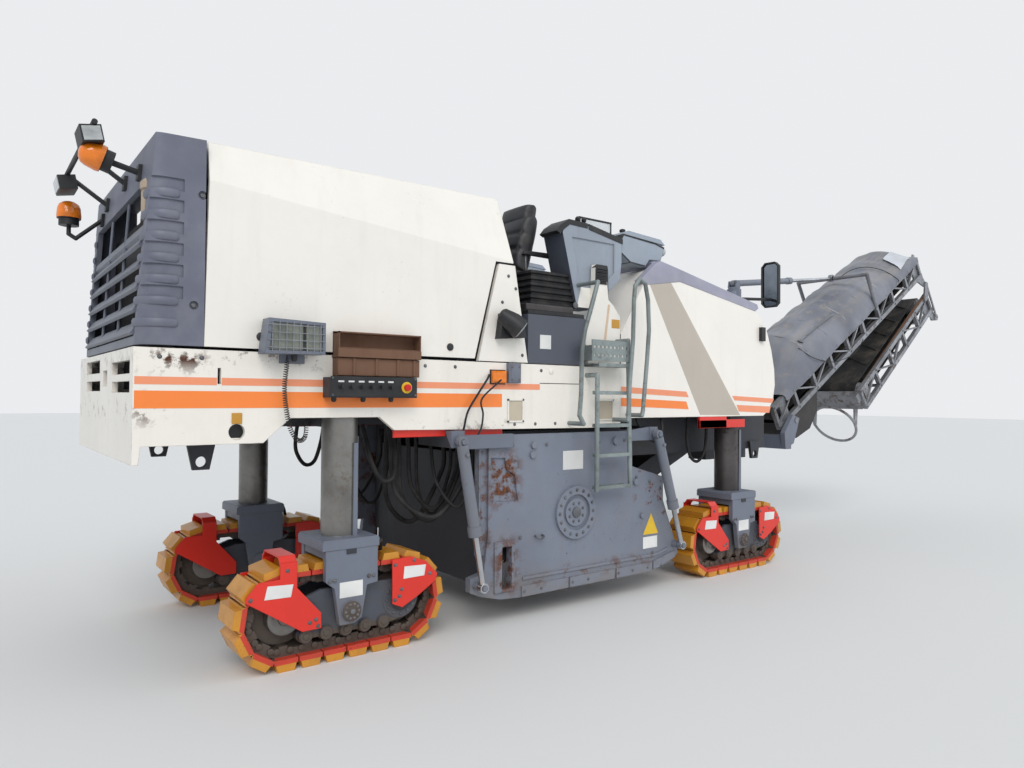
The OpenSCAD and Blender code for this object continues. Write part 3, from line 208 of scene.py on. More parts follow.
def steel(name, col, rust, rough, metal=0.7, dark=(70, 50, 38)):
    m = Mat(name, rough, metal)
    base = m.mix(m.patch(2.4, 5, 0.55, 0.35, 0.68), rgb(col), rgb(col, 0.72))
    where = m.add(m.mul(m.patch(2.7, 3, 0.55, 0.44, 0.62), rust * 1.6), rust * 0.35)
    spots = m.op("MINIMUM", m.mul(m.patch(17, 8, 0.72, 0.50, 0.64), where), 1.0)
    m.edges(0.004)
    return m.finish(m.mix(spots, base, rgb(dark)), m.noise(90, 6), 0.2, 0.001,
        m.add(m.mul(spots, 0.45), rough))


def plastic(name, col, rough=0.45, dust=0.15, dust_col=(150, 145, 138)):
    m = Mat(name, rough)
    base = m.mix(m.patch(2.2, 4, 0.55, 0.4, 0.66), rgb(col), rgb(col, 0.9))
    m.edges(0.004)
    colour = m.mix(m.mul(m.patch(5, 7, 0.66, 0.48, 0.74), dust), base, rgb(dust_col))
    return m.finish(colour, m.noise(220, 3), 0.12, 0.0008)


def glass(name, col, rough, ribs=None, alpha=1.0):
    m = Mat(name, rough, 0.0, 0.4)
    m.b.inputs["Alpha"].default_value = alpha
    colour = m.mix(m.patch(9, 5, 0.55, 0.45, 0.7), rgb(col), rgb(col, 0.8))
    return m.finish(colour, m.wave(ribs, "Z") if ribs else m.noise(40, 2), 0.3 if ribs else 0.05, 0.002)


# paint: colour, roughness, chips, streaks, grime, worn edges, the grime's colour, fading, the rust's colour
CREAM = paint("cream_paint", (240, 236, 228), 0.34, 0.10, 0.10, 0.06, 0.35, (170, 155, 132), 0.05,
    (96, 52, 34), coat=0.15)
SKIRT = paint("skirt_paint", (240, 235, 226), 0.36, 0.22, 0.14, 0.10, 0.55, (160, 143, 120), 0.06,
    (92, 50, 32), coat=0.1, zones=((-4800, -4480, 1640, 1752, 0.55), (-4818, -4700, 1380, 1500, 0.25),
    (-4400, -3200, 1690, 1756, 0.30), (-3300, -2500, 1290, 1330, 0.4)))
TANK = paint("tank_paint", (241, 236, 228), 0.34, 0.05, 0.08, 0.05, 0.2, (176, 162, 140), 0.05, coat=0.15)
BAND = paint("band_paint", (188, 178, 166), 0.4, 0.02, 0.06, 0.08, 0, fade=0.06)
ORANGE = paint("orange_stripe", (252, 138, 62), 0.38, 0.06, 0.08, 0.08, 0, (190, 120, 80), 0.08)
CORAL = paint("coral_stripe", (242, 152, 112), 0.4, 0.05, 0.08, 0.1, 0, (200, 160, 140), 0.08)
SLATE = paint("slate_paint", (110, 117, 132), 0.44, 0.25, 0.3, 0.28, 0.7, (120, 112, 104), 0.16)
PANEL = paint("seat_box_paint", (80, 85, 97), 0.46, 0.1, 0.25, 0.2, 0.4, (96, 92, 88))
PLATE = paint("side_plate_paint", (120, 127, 142), 0.44, 0.35, 0.35, 0.32, 0.8, (126, 118, 110), 0.2,
    low=(0.16, 0.42), zones=((-2700, -2440, 790, 1130, 0.85), (-2790, -2690, 460, 1240, 0.5),
    (-2650, -2460, 200, 560, 0.75), (-1300, -840, 560, 1260, 0.25), (-2400, -1000, 240, 300, 0.35)))
DARK = paint("frame_dark", (50, 53, 60), 0.55, 0.2, 0.3, 0.4, 0.5, (78, 70, 62))
YOKE = paint("yoke_paint", (112, 119, 134), 0.42, 0.22, 0.22, 0.25, 0.55, (112, 102, 92), low=(0.2, 0.5))
TRACKF = paint("track_frame_paint", (76, 82, 93), 0.5, 0.35, 0.3, 0.5, 0.6, (84, 72, 60), low=(0.1, 0.45))
RED = paint("guard_red", (226, 48, 34), 0.36, 0.10, 0.1, 0.1, 0.5, (150, 60, 44), 0.1, (90, 30, 22),
    coat=0.1)
SHOE = paint("shoe_red", (206, 62, 42), 0.5, 0.5, 0.2, 0.45, 0.8, (110, 70, 56), 0.2, (84, 52, 44))
PAD = paint("pad_amber", (212, 146, 42), 0.38, 0.3, 0.3, 0.5, 0.5, (132, 88, 44), 0.25, (88, 62, 40),
    coat=0.2)
CONSOLE = paint("console_paint", (152, 162, 175), 0.42, 0.12, 0.25, 0.22, 0.45, (118, 114, 112))
CORNER = plastic("corner_plastic", (106, 109, 125), 0.5, 0.25, (150, 150, 154))
SLAT = plastic("slat_plastic", (112, 116, 128), 0.5, 0.25, (150, 150, 154))
COVER = plastic("tank_cover_plastic", (160, 160, 178), 0.5, 0.25, (190, 186, 186))
RAIL = steel("rail_galvanised", (150, 160, 160), 0.35, 0.5, 0.35, (88, 84, 74))
GALV = steel("galvanised", (158, 160, 166), 0.45, 0.45, 0.45, (96, 72, 54))
RUSTY = paint("rusty_steel", (116, 84, 64), 0.75, 0.6, 0.4, 0.5, 0.5, (84, 56, 40))
COLUMN = steel("column_steel", (150, 148, 144), 0.35, 0.36, dark=(104, 88, 70))
# A darker copy of the column steel: on the front legs' column it is painted shade, on the seat's slide it is
# dark steel.
DARK_STEEL_AND_SHADE = steel("dark_steel_and_painted_shade", (92, 88, 88), 0.55, 0.4, 0.6, (62, 46, 40))
CHAIN = paint("link_steel", (94, 84, 76), 0.55, 0.6, 0.4, 0.6, 0.4, (70, 54, 42), metal=0.3)
ROD = steel("chromed_rod", (196, 198, 202), 0.06, 0.16, 0.95)
BARREL = paint("barrel_paint", (118, 124, 136), 0.4, 0.25, 0.3, 0.3, 0.5)
TOOL = steel("tool_steel", (120, 112, 104), 0.6, 0.5)
BELT = rubber("belt_rubber", (30, 30, 31), 0.55, (112, 100, 86))
HOSE = rubber("hose_rubber", (24, 24, 26), 0.25, grain=260)
BLACK = plastic("black_plastic", (30, 31, 34), 0.5, 0.25, (92, 90, 88))
WHITE = plastic("blank_label", (232, 232, 230), 0.4, 0.12, (180, 175, 168))
POCKET_SHADE = plastic("pocket_shade", (196, 184, 164), 0.5, 0.2)
YELLOW = plastic("yellow_label", (232, 190, 36), 0.4, 0.1)
BELLY = plastic("belly_rubber", (46, 44, 44), 0.6, 0.35, (96, 86, 76))
FLAP = plastic("end_flap", (206, 210, 218), 0.5, 0.3, (150, 140, 126))
WORKGLASS = glass("work_lamp_glass", (128, 132, 122), 0.1, 14)
CANISTER = plastic("canister", (176, 158, 138), 0.45, 0.3, (120, 104, 86))
# A tan that is painted shade at the post's folded edge.
FOLD_SHADE_TAN = plastic("painted_fold_shade", (224, 196, 168), 0.45, 0.15)
OCHRE = plastic("ochre_label", (206, 150, 50), 0.45, 0.15)
BOLT = steel("bolt_steel", (128, 130, 134), 0.3, 0.42)
LENS = glass("lamp_glass", (190, 194, 194), 0.05, 14)
AMBER = glass("beacon_glass", (240, 128, 20), 0.12, 9)
MIRROR = steel("mirror_glass", (150, 158, 168), 0.02, 0.06, 1.0)
SCREEN = glass("clear_screen", (196, 206, 212), 0.05, alpha=0.35)
STOP = plastic("stop_red", (206, 30, 26), 0.35, 0.05)


def tarp():
    m = Mat("tarpaulin", 0.72)
    m.b.inputs["Sheen Weight"].default_value = 0.15
    base = m.mix(m.patch(2.0, 6, 0.55, 0.36, 0.66), rgb((128, 132, 144)), rgb((98, 102, 114)))
    streaks = m.step(m.noise(1.0, 7, 0.66, (0.9, 7, 0.9)), 0.44, 0.74)
    top = m.step(m.axis(2, m.node("NewGeometry", {}, "Normal")), 0.1, 0.85)
    dust = m.mul(m.most(m.mul(streaks, 0.8), m.patch(8, 8, 0.7, 0.47, 0.72)), m.add(m.mul(top, 0.62), 0.10))
    weave = m.mul(m.wave(420, "X"), m.wave(420, "Y"))
    height = m.add(m.mul(weave, 0.25), m.noise(26, 6))
    return m.finish(m.mix(dust, base, rgb((166, 158, 146))), height, 0.35, 0.003)


def vinyl():
    m = Mat("seat_vinyl", 0.48)
    base = m.mix(m.patch(5, 5, 0.55, 0.38, 0.68), rgb((28, 28, 31)), rgb((46, 46, 50)))
    grain = m.node("TexVoronoi", {"Scale": 180, "Vector": m.co}, "Distance")
    height = m.add(m.mul(grain, 0.4), m.mul(m.noise(30, 5), 0.6))
    return m.finish(m.mix(m.mul(m.patch(8, 7, 0.55, 0.48, 0.72), 0.3), base, rgb((96, 92, 88))), height, 0.4,
        0.0015)


def mesh_dark():
    """Fine mesh before the coolers, behind the grille."""
    m = Mat("cooler_mesh", 0.6, 0.3)
    w = m.mul(m.step(m.wave(28, "Y"), 0.3, 0.6), m.step(m.wave(28, "Z"), 0.3, 0.6))
    return m.finish(m.mix(w, rgb((58, 56, 56)), rgb((18, 18, 20))), w, 0.5, 0.003)


TARP, VINYL, MESH = tarp(), vinyl(), mesh_dark()


# materials on the solids, by place
def dress(node, default, rules=None, x0=0, y0=0):
    """Rules pair tests with materials, for a face's middle in mm and its normal n; the first that holds
    counts. There x is measured from x0, and y is the distance from y0 on either side."""
    me = NODES[node].data
    me.materials.clear()
    for mat in [default] + [mat for _, mat in (rules(0, 0, 0, UP) if rules else ())]:
        me.materials.append(mat)
    idx = np.zeros(len(me.polygons), np.int32)
    co = np.array([v.co for v in me.vertices]) * 1000
    for p in me.polygons if rules else ():
        x, y, z = co[list(p.vertices)].mean(0)
        tests = [bool(test) for test, _ in rules(x - x0, abs(abs(y) - y0), z, p.normal)]
        idx[p.index] = tests.index(True) + 1 if any(tests) else 0
    me.polygons.foreach_set("material_index", idx)


def from_loop(x, z):
    """Distance from the line between the track's two axles."""
    return hypot(max(abs(x) - HALF_RUN, 0), z - AXLE)


for end, x0 in ENDS:
    for s in "rl":
        dress("leg_" + end + s, TRACKF, lambda x, y, z, n: [
            ((141.5 <= y <= 150.6 and (x < -163.5 or x > 279))
             or (z > 553 and -402 < x < -305), RED),
            # the front legs' column takes the darker steel copy as painted shade
            (z > 699.5 and hypot(x, y) < 108, COLUMN if end == "r" else DARK_STEEL_AND_SHADE),
            (z > 585 or (y > 141 and -176 < x < 176), YOKE),
            (y < 34 and abs(abs(x) - HALF_RUN) < 170, CHAIN),
            (hypot(x + HALF_RUN, z - AXLE) < 100, COLUMN),
            (z < 175, CHAIN)], x0, LEG_Y)
        dress("track_" + end + s, CHAIN, lambda x, y, z, n: [
            (from_loop(x, z) > LOOP_R + 1.5, PAD),
            (from_loop(x, z) > LOOP_R - 30 and y > 76, SHOE),
            (from_loop(x, z) > LOOP_R - 1.5, SHOE)], x0, LEG_Y)


def lift(x, z):
    """Along and above the discharge conveyor's first half, in mm."""
    dx, dz = x - LIFT_X, z - LIFT_Z
    return dx * cos(RISE) + dz * sin(RISE), -dx * sin(RISE) + dz * cos(RISE)


dress("chassis_frame", DARK, lambda x, y, z, n: [
    (y > 930 and x < -2300, SLATE),
    (x > 600 and z > 1500, SLATE)])
dress("engine_block", DARK, lambda x, y, z, n: [(n[0] < -0.9, MESH)])
dress("rear_skirt", SKIRT, lambda x, y, z, n: [
    (BACK + 31 < x and y < HALF - 32, DARK),
    (abs(n[0]) > 0.9 and BACK + 28 < x < BACK + 32, DARK)])
# the tank's underside and its rear wall under the console take the dark frame paint as painted shade
dress("front_tank", TANK, lambda x, y, z, n: [(n[2] < -0.5 or n[0] < -0.9, DARK)])
dress("platform", SLATE, lambda x, y, z, n: [
    (x > -2370 and y > 300 and z < 2120 and abs(n[2]) < 0.9, PANEL),
    (HALF - 32 < y < HALF + 0.5 and z < 2420, CREAM),
    (y > HALF + 0.5, BLACK),
    (x > -2400 and abs(n[2]) > 0.9 and z > 2050, DARK)])
dress("consoles", CONSOLE, lambda x, y, z, n: [
    (918.5 < y < 921 and -1730 < x < -1610 and 2355 < z < 2520, BLACK),
    (y > 868 and z < 2352, CREAM),
    (y > 898 and z < 2520 and -1740 < x < -1600, BLACK),
    (y > 868 and z < 2520 and -1740 < x < -1590, CREAM),
    (z > 2695 and x < -1405 and n[2] > 0.2, BLACK),
    (x < -1800 and n[0] < -0.5 and z > 2200, PANEL)])
dress("side_boxes", SLATE, lambda x, y, z, n: [
    (z < BOX_TOP and y > 1028.5 and hypot(x - STOP_X, z - STOP_Z) < 22, STOP),
    (z < BOX_TOP and y > 1024.5 and hypot(x - STOP_X, z - STOP_Z) < 36, YELLOW),
    (z < BOX_TOP and y > 1024.5, BLACK),
    (z < BOX_TOP, DARK),
    (x > RX - 130, RUSTY)])
dress("drum_housing", DARK, lambda x, y, z, n: [(y > 900, SLATE)])
dress("engine_hood", CREAM, lambda x, y, z, n: [(n[2] < -0.5 or y < HALF - 140 and z < 2700, DARK)])
dress("hood_grille", CORNER, lambda x, y, z, n: [(y < 801 and z < 2620, SLAT)])
dress("conveyor_frame", GALV, lambda x, y, z, n: [
    (lift(x, z)[1] < -3 and y < 382 and lift(x, z)[0] < 720, BELLY)])
dress("fold_frame", GALV, lambda x, y, z, n: [
    (-330 < lift(x, z)[1] < -215 and y > 370 and lift(x, z)[0] < 3300, RUSTY)])
PLAIN = {COVER: "front_cover", RAIL: "ladders", BLACK: "mirrors rear_lights", TOOL: "milling_drum",
    DARK: "primary_conveyor scraper", PLATE: "side_plate_r side_plate_l", SLATE: "slew_yoke",
    TARP: "conveyor_cover", BELT: "conveyor_belt fold_belt", ROD: "rod_r1 rod_r2 rod_l1 rod_l2 lift_rod",
    BARREL: "barrel_r1 barrel_r2 barrel_l1 barrel_l2 lift_barrel"}
for mat, nodes in PLAIN.items():
    for node in nodes.split():
        dress(node, mat)


# a builder for the scene's own pieces
def solid(rows, n):
    """Faces of a closed body whose rows have n points each."""
    return quads(rows, n, n) + [tuple(range(n))[::-1], tuple(range(n * (rows - 1), n * rows))]


def quads(rows, n, m):
    """Faces between rows of n points, m in each gap; m is n where the rows close."""
    return [(r * n + i, r * n + (i + 1) % n, (r + 1) * n + (i + 1) % n, (r + 1) * n + i)
            for r in range(rows - 1) for i in range(m)]


def circle(n, r=1.0, x=0.0, z=0.0, turn=0.0):
    """Points on a circle; turn counts in steps."""
    return [(x + r * cos(a), z + r * sin(a)) for a in (2 * pi * (i + turn) / n for i in range(n))]


def flip(k, q):
    return Vector((q[0], k * q[1], q[2]))


class Piece:
    """Gathers forms in millimetres into one mesh that rides on a body. Its y is multiplied by k."""

    def __init__(s, name, body, *mats, k=1):
        s.name, s.body, s.mats, s.k = name, body, mats, k
        s.v, s.f, s.mi, s.sm = [], [], [], []

    def add(s, verts, faces, mi=0, smooth=False):
        first = len(s.v)
        s.v += [tuple(v) for v in verts]
        s.f += [tuple(i + first for i in f) for f in faces]
        s.mi += [mi] * len(faces)
        s.sm += [smooth] * len(faces)

    def prism(s, pts, y0, y1, mi=0, inset=0):
        """A polygon of x and z pushed along y; inset chamfers its far side."""
        rings = [(pts, y0), (pts, y1)]
        if inset:
            cx, cz = (sum(p[i] for p in pts) / len(pts) for i in (0, 1))
            small = [(x - inset * (1 if x > cx else -1), z - inset * (1 if z > cz else -1)) for x, z in pts]
            rings = [(pts, y0), (pts, y1 - copysign(min(inset, abs(y1 - y0) / 2), y1 - y0)), (small, y1)]
        s.add([(p[0], s.k * y, p[1]) for ring, y in rings for p in ring], solid(len(rings), len(pts)), mi)

    def box(s, x0, x1, y0, y1, z0, z1, mi=0, inset=0):
        s.prism([(x0, z0), (x1, z0), (x1, z1), (x0, z1)], y0, y1, mi, inset)

    def lathe(s, c, prof, n=20, mi=0, d=OUT, smooth=True):
        """A profile of (radius, height) turned about the line from c along d."""
        c, d = flip(s.k, c), flip(s.k, d).normalized()
        a = d.orthogonal().normalized()
        b = d.cross(a)
        s.add([c + d * h + (a * p + b * q) * r for r, h in prof for p, q in circle(n)], solid(len(prof), n),
            mi, smooth)

    def bolt(s, c, r=12, h=9, mi=0, d=OUT):
        s.lathe(c, [(r * 1.45, 0), (r * 1.45, h * 0.25)], 16, mi, d, False)
        c = Vector(c) + Vector(d).normalized() * (h * 0.2)
        s.lathe(c, [(r, 0), (r, h * 0.65), (r * 0.8, h * 0.8)], 6, mi, d, False)

    def bolts(s, y, r, h, mi, places):
        for x, z in places:
            s.bolt((x, y, z), r, h, mi)

    def tube(s, pts, r, n=10, mi=0, step=0):
        pts = [flip(s.k, q) for q in pts]
        p = curve(pts, step) if step else pts
        t = [(p[min(i + 1, len(p) - 1)] - p[max(i - 1, 0)]).normalized() for i in range(len(p))]
        u = t[0].orthogonal().normalized()
        v = []
        for q, d in zip(p, t):
            u = (u - d * u.dot(d)).normalized()
            v += [q + (u * a + d.cross(u) * b) * r for a, b in circle(n)]
        s.add(v, solid(len(p), n), mi, True)

    def done(s, bevel=0.0, slot=None, smooth_all=False):
        me = bpy.data.meshes.new(s.name)
        me.from_pydata([(x * MM, y * MM, z * MM) for x, y, z in s.v], [], s.f)
        for m in s.mats:
            me.materials.append(m)
        me.polygons.foreach_set("material_index", s.mi)
        me.polygons.foreach_set("use_smooth", [a or smooth_all for a in s.sm])
        bm = bmesh.new()
        bm.from_mesh(me)
        bmesh.ops.recalc_face_normals(bm, faces=bm.faces)
        bm.to_mesh(me)
        bm.free()
        o = link(s.name, me)
        if bevel:
            b = o.modifiers.new("edge", "BEVEL")
            b.width, b.segments, b.limit_method, b.angle_limit = bevel * MM, 2, "ANGLE", radians(40)
        if any(s.sm) or smooth_all:
            me.set_sharp_from_angle(angle=radians(38))
        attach(o, s.body)
        return o


def length_of(p):
    return sum((b - a).length for a, b in zip(p, p[1:]))


def curve(pts, step):
    """A smooth line through the points, with even steps, in mm."""
    p = [Vector(q) for q in pts]
    p = [2 * p[0] - p[1]] + p + [2 * p[-1] - p[-2]]
    out = []
    for a, b, c, d in zip(p, p[1:], p[2:], p[3:]):
        n = max(2, int((c - b).length / 4))
        for t in (k / n for k in range(n)):
            out.append(0.5 * ((2 * b) + (c - a) * t + (2 * a - 5 * b + 4 * c - d) * t * t
                              + (3 * b - a - 3 * c + d) * t ** 3))
    out.append(p[-2])
    total = length_of(out)
    n = max(2, round(total / step))
    res, want, gone = [out[0]], total / n, 0.0
    for a, b in zip(out, out[1:]):
        seg = (b - a).length
        while gone + seg >= want * len(res) - 1e-6 and len(res) < n:
            res.append(a.lerp(b, (want * len(res) - gone) / seg))
        gone += seg
    return res + [out[-1]]


def cord(name, pts, d, k=1, body="machine", smooth=True):
    """A cable or hose between two places on the machine."""
    p = [flip(k, q) for q in pts]
    if smooth:
        p = curve(p, max(length_of(curve(p, 20)) / 36, 12))
    c = bpy.data.curves.new(name, "CURVE")
    c.dimensions = "3D"
    c.bevel_depth, c.bevel_resolution, c.use_fill_caps = d / 2 * MM, 3, True
    sp = c.splines.new("POLY")
    sp.points.add(len(p) - 1)
    for point, q in zip(sp.points, p):
        point.co = (*(x * MM for x in q), 1)
    sp.use_smooth = True
    c.materials.append(HOSE)
    o = link(name, c)
    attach(o, body)


def sides(build):
    """Builds on the right, where y counts negative, and on the left."""
    for k, s in ((-1, "r"), (1, "l")):
        build(k, s)
    return build


# cords and hoses
def cables():
    h = HALF
    # two crossing cables before the skirt
    cord("cable_cross_a", [(-2700, h + 8, 1660), (-2730, h + 30, 1630), (-2800, h + 34, 1540),
        (-2880, h + 30, 1420), (-2905, h + 22, 1310), (-2910, h - 10, 1262), (-2914, h - 50, 1240)], 14, -1)
    cord("cable_cross_b", [(-2596, h + 10, 1640), (-2640, h + 40, 1615), (-2790, h + 56, 1500),
        (-2775, h + 50, 1400), (-2790, h + 36, 1290), (-2850, h - 10, 1215), (-2914, h - 70, 1212)], 12, -1)
    # curly cord of the side lamp
    line = curve([(-4080, -h - 70, 1734), (-4082, -h - 74, 1690), (-4085, -h - 50, 1560),
        (-4070, -h - 40, 1440), (-4040, -h - 26, 1330), (-3990, -h - 8, 1268), (-3935, 30 - h, 1285),
        (-3915, 60 - h, 1386)], 1.0)
    pts, last, a = [], len(line) - 1, None
    for i, q in enumerate(line):
        t = (line[min(i + 1, last)] - line[max(i - 1, 0)]).normalized()
        a = (a - t * a.dot(t)).normalized() if a else t.orthogonal().normalized()
        w, turn = min(1, i / 40, (last - i) / 40), 2 * pi * i / 13
        pts.append(q + (a * cos(turn) + t.cross(a) * sin(turn)) * 11 * w)
    cord("lamp_curly_cord", pts, 5, smooth=False)
    # hoses that hang between the frame and the drum's housing
    for i, (x, y0, y1, d, sag) in enumerate(((-3230, -540, -700, 34, 120), (-3150, -520, -600, 26, 160),
            (-3070, -500, -560, 30, 90), (-2990, -480, -480, 26, 140), (-3190, -450, -380, 34, 190),
            (-2950, -550, -760, 24, 60), (-3110, 520, 600, 30, 130), (-3020, 480, 420, 28, 170))):
        cord("frame_hose_%d" % i, [(x, y0, 1326), (x + 3, (y0 * 3 + y1) / 4, 1200),
            (x + 22, (y0 + y1) / 2, 1000 - sag), ((x - 2700) / 2, y1, 840 - sag), (-2720, y1, 980),
            (-2700, y1, 1180), (-2634, y1, 1258)], d)
    # hose bundle before the tank
    for i in range(5):
        x, y = NOSE + 55, -330 + i * 48
        cord("nose_hose_%d" % i, [(NOSE - 40, y, 1850 - i * 12), (x + i * 7, y, 1830 - i * 12),
            (x + 50 + i * 6, y + 4, 1640), (x + 40 + i * 8, y + 6, 1400), (x + 15 + i * 5, y + 4, 1180),
            (x - 16, y + 2, 1080)], 26)


cables()


@sides
def hoses(k, s):
    """Hoses down to the legs and to the plate cylinders."""
    cord("leg_hose_f" + s, [(-420, 700, 1362), (-425, 704, 1290), (-440, 712, 1150), (-400, 716, 1010),
        (-300, 712, 960), (-200, 706, 1040), (-170, 704, 1200), (-165, 700, 1362)], 26, k)
    cord("leg_hose_r" + s, [(-3420, 552, 1326), (-3418, 600, 1230), (-3400, 650, 1090), (-3330, 654, 980),
        (-3250, 656, 1000), (-3215, 610, 1160), (-3215, 552, 1326)], 30, k)
    cord("plate_hose_" + s, [(-1240, 870, 1362), (-1238, 884, 1320), (-1180, 900, 1240), (-1080, 904, 1170),
        (-1000, 900, 1180), (-960, 890, 1270), (-955, 872, 1362)], 20, k)


# stripes, labels, lamps and small parts
@sides
def stripes(k, s):
    y0, y1 = HALF - 0.5, HALF + 1.0
    p = Piece("stripes_" + s, "machine", ORANGE, CORAL, k=k)
    p.box(-4812, -2588, y0, y1, 1447, 1535)
    p.box(-4812, -4424, y0, y1, 1566, 1605, 1)
    p.box(-4400, -2262, y0, y1, 1566, 1605, 1)
    # two stripes fall along the tank; the band parts them
    for z0, z1, t, mi, x3 in ((1452, 1383, 64, 0, 452), (1556, 1475, 46, 1, 500)):
        def at(x, up=0, dx=0):
            return x + dx, z0 + (z1 - z0) * (x + 1518) / 2030 + up
        x1, x2 = -677, 40 - (z0 - 1383) * 0.6
        p.prism([at(MID, 0, 6), at(x1), at(x1, t, -30), at(MID, t, 6)], y0, y1, mi)
        p.prism([at(x2), at(x3), at(x3, t - 6, 24), at(x2, t - 6, -34)], y0, y1, 1)
    p.done(slot="white_paint")
    q = Piece("tank_band_" + s, "machine", BAND, k=k)
    q.prism([(-1160, 2426), (-531, 1376), (16, 1369), (-920, 2470)], y0, y1)
    q.done(slot="white_paint")


@sides
def labels(k, s):
    def plate(name, body, pts, y, mat, t=1.6):
        p = Piece(name + "_" + s, body, mat, k=k)
        p.prism(pts, y - 0.3, y + t, inset=0.5)
        p.done()

    def rect(x0, x1, z0, z1):
        return [(x0, z0), (x1, z0), (x1, z1), (x0, z1)]
    plate("label_plate", "plate_" + s, rect(-2049, -1856, 998, 1133), PLATE_Y, WHITE)
    plate("label_triangle", "plate_" + s, [(-1131, 611), (-1221, 449), (-1049, 446)], PLATE_Y, YELLOW)
    plate("label_low", "plate_" + s, rect(-1221, -1060, 340, 430), PLATE_Y, WHITE)
    for end, x in ENDS:
        body, y = "leg_unit_" + end + s, LEG_Y + CHEEK
        plate("guard_label_a_" + end, body, [(x - 487, 414), (x - 470, 486), (x - 327, 478), (x - 340, 410)],
            y + 8, WHITE)
        plate("guard_label_b_" + end, body, [(x + 355, 410), (x + 362, 484), (x + 512, 478), (x + 500, 412)],
            y + 8, WHITE)
        plate("yoke_label_" + end, body, rect(x - 70, x + 73, 365, 454), y + 40, WHITE)
    plate("post_label", "machine", rect(-1562, -1478, 2040, 2106), 919, OCHRE)
    # a thin tan strip of painted shade along the post's folded edge
    plate("post_fold_shade", "machine", [(-1646, 1930), (-1622, 1930), (-1580, 2215), (-1600, 2215)], 919, FOLD_SHADE_TAN)
    plate("skirt_reflector", "machine", rect(-4347, -4295, 1364, 1421), HALF, OCHRE, 7)
    plate("seat_box_label", "machine", rect(-2263, -2163, 1852, 1950), HALF, WHITE)


@sides
def skirt_parts(k, s):
    h = HALF
    p = Piece("skirt_fittings_" + s, "machine", BLACK, AMBER, BOLT, SLATE, CREAM, POCKET_SHADE, k=k)
    p.box(-4376, -4264, 870, 890, 1284, 1362)
    # marker lamp and the box beside it
    p.box(-2690, -2562, h - 1, h + 6, 1598, 1696, 0, 3)
    p.box(-2682, -2570, h + 5, h + 36, 1606, 1688, 1, 8)
    p.box(-2553, -2451, h - 1, h + 38, 1608, 1742, 3, 8)
    p.box(-2541, -2463, h + 37, h + 41, 1622, 1728, 3, 3)
    p.bolts(h + 41, 5, 5, 2, ((-2532, 1716), (-2472, 1716), (-2532, 1634), (-2472, 1634)))
    # pocket frames beside the ladder
    for a, b in ((-1712, -1546), (-2543, -2405)):
        for x0, x1, z0, z1 in ((a, b, 1344, 1356), (a, b, 1490, 1502), (a, a + 12, 1344, 1502),
                (b - 12, b, 1344, 1502)):
            p.box(x0, x1, h - 1, h + 7, z0, z1, 4)
        # the pocket's floor is a darker beige, painted shade inside the recess
        p.box(a + 12, b - 12, h - 0.5, h + 1, 1357, 1489, 5)
    # small bolts along the skirt's seams, the tank's foot and the fixed panel's slanted edge
    p.bolts(h, 8, 6, 2, ((-4700, 1705), (-4500, 1705), (-3180, 1705), (-2960, 1705), (-2480, 1330),
        (-2300, 1330), (-2120, 1330), (-2480, 1690), (-2250, 1700)))
    p.bolts(h + 0.2, 8, 6, 2, ((-2540, 2330), (-2478, 2250), (-2590, 2150), (-2448, 2030), (-2418, 1800)))
    # screw cover and seam on the front skirt
    p.lathe((-2160, h - 1, 1700), [(22, 0), (22, 5), (16, 8)], 18, 4)
    p.box(-2262, -1850, h - 0.5, h + 1.2, 1609, 1614)
    p.done(slot="black_plastic")
    # rusty case between shelf and control box
    c = Piece("tool_case_" + s, "machine", RUSTY, k=k)
    c.box(-3790, -3262, h - 1, h + 74, 1629, 1733, 0, 4)
    for x in (-3700, -3560, -3420, -3310):
        c.box(x, x + 16, h + 73, h + 82, 1632, 1732, 0, 2)
    for x0, x1, a, b, z0, z1 in ((-3786, -3266, 2, 80, 1786, 1792), (-3790, -3784, -1, 88, 1745, 1880),
            (-3268, -3262, -1, 88, 1745, 1880), (-3790, -3262, -1, 6, 1745, 1885),
            (-3790, -3262, 2, 88, 1872, 1880)):
        c.box(x0, x1, h + a, h + b, z0, z1)
    c.done()
    # work lamp: glass, reflector bars and guard wires
    w = Piece("work_lamp_" + s, "machine", WORKGLASS, BLACK, GALV, k=k)
    y, x = h + 116, RX - 330
    w.prism([(x - 182, 1758), (x - 165, 1902), (x, 1898), (x, 1760)], y - 1, y + 3)
    w.prism([(x + 12, 1760), (x + 12, 1898), (x + 104, 1894), (x + 104, 1760)], y - 1, y + 3)
    w.box(x, x + 12, y - 1, y + 9, 1758, 1900, 1)
    for i in range(8):
        w.tube([(x - 170 + i * 38, y + 12, 1748), (x - 170 + i * 38, y + 14, 1908)], 2.6, 6, 2)
    for i in range(4):
        w.tube([(x - 195, y + 15, 1770 + i * 40), (x + 118, y + 15, 1770 + i * 40)], 2.6, 6, 2)
    w.lathe((x - 30, h + 70, 1730), [(16, -6), (16, 20), (11, 30)], 14, 1, (0, 0, -1))
    w.done(slot="lamp_mix")
    # control box: blank strips over the switches, glands
    b = Piece("control_box_parts_" + s, "machine", WHITE, BLACK, BOLT, k=k)
    for i in range(6):
        x = RX - 100 + i * 62
        b.box(x - 18, x + 18, h + 99.5, h + 101, 1592, 1602)
        b.box(x - 5, x + 5, h + 111, h + 124, 1556, 1578, 1, 2)
    for x in (RX - 120, RX + 60, RX + 240):
        b.lathe((x, h + 46, 1506), [(15, -2), (15, 16), (9, 26)], 14, 1, (0, 0, -1))
    b.bolts(h + 100, 5, 5, 2, [(x, z) for x in (RX - 150, RX + 374) for z in (1520, 1616)])
    b.done()


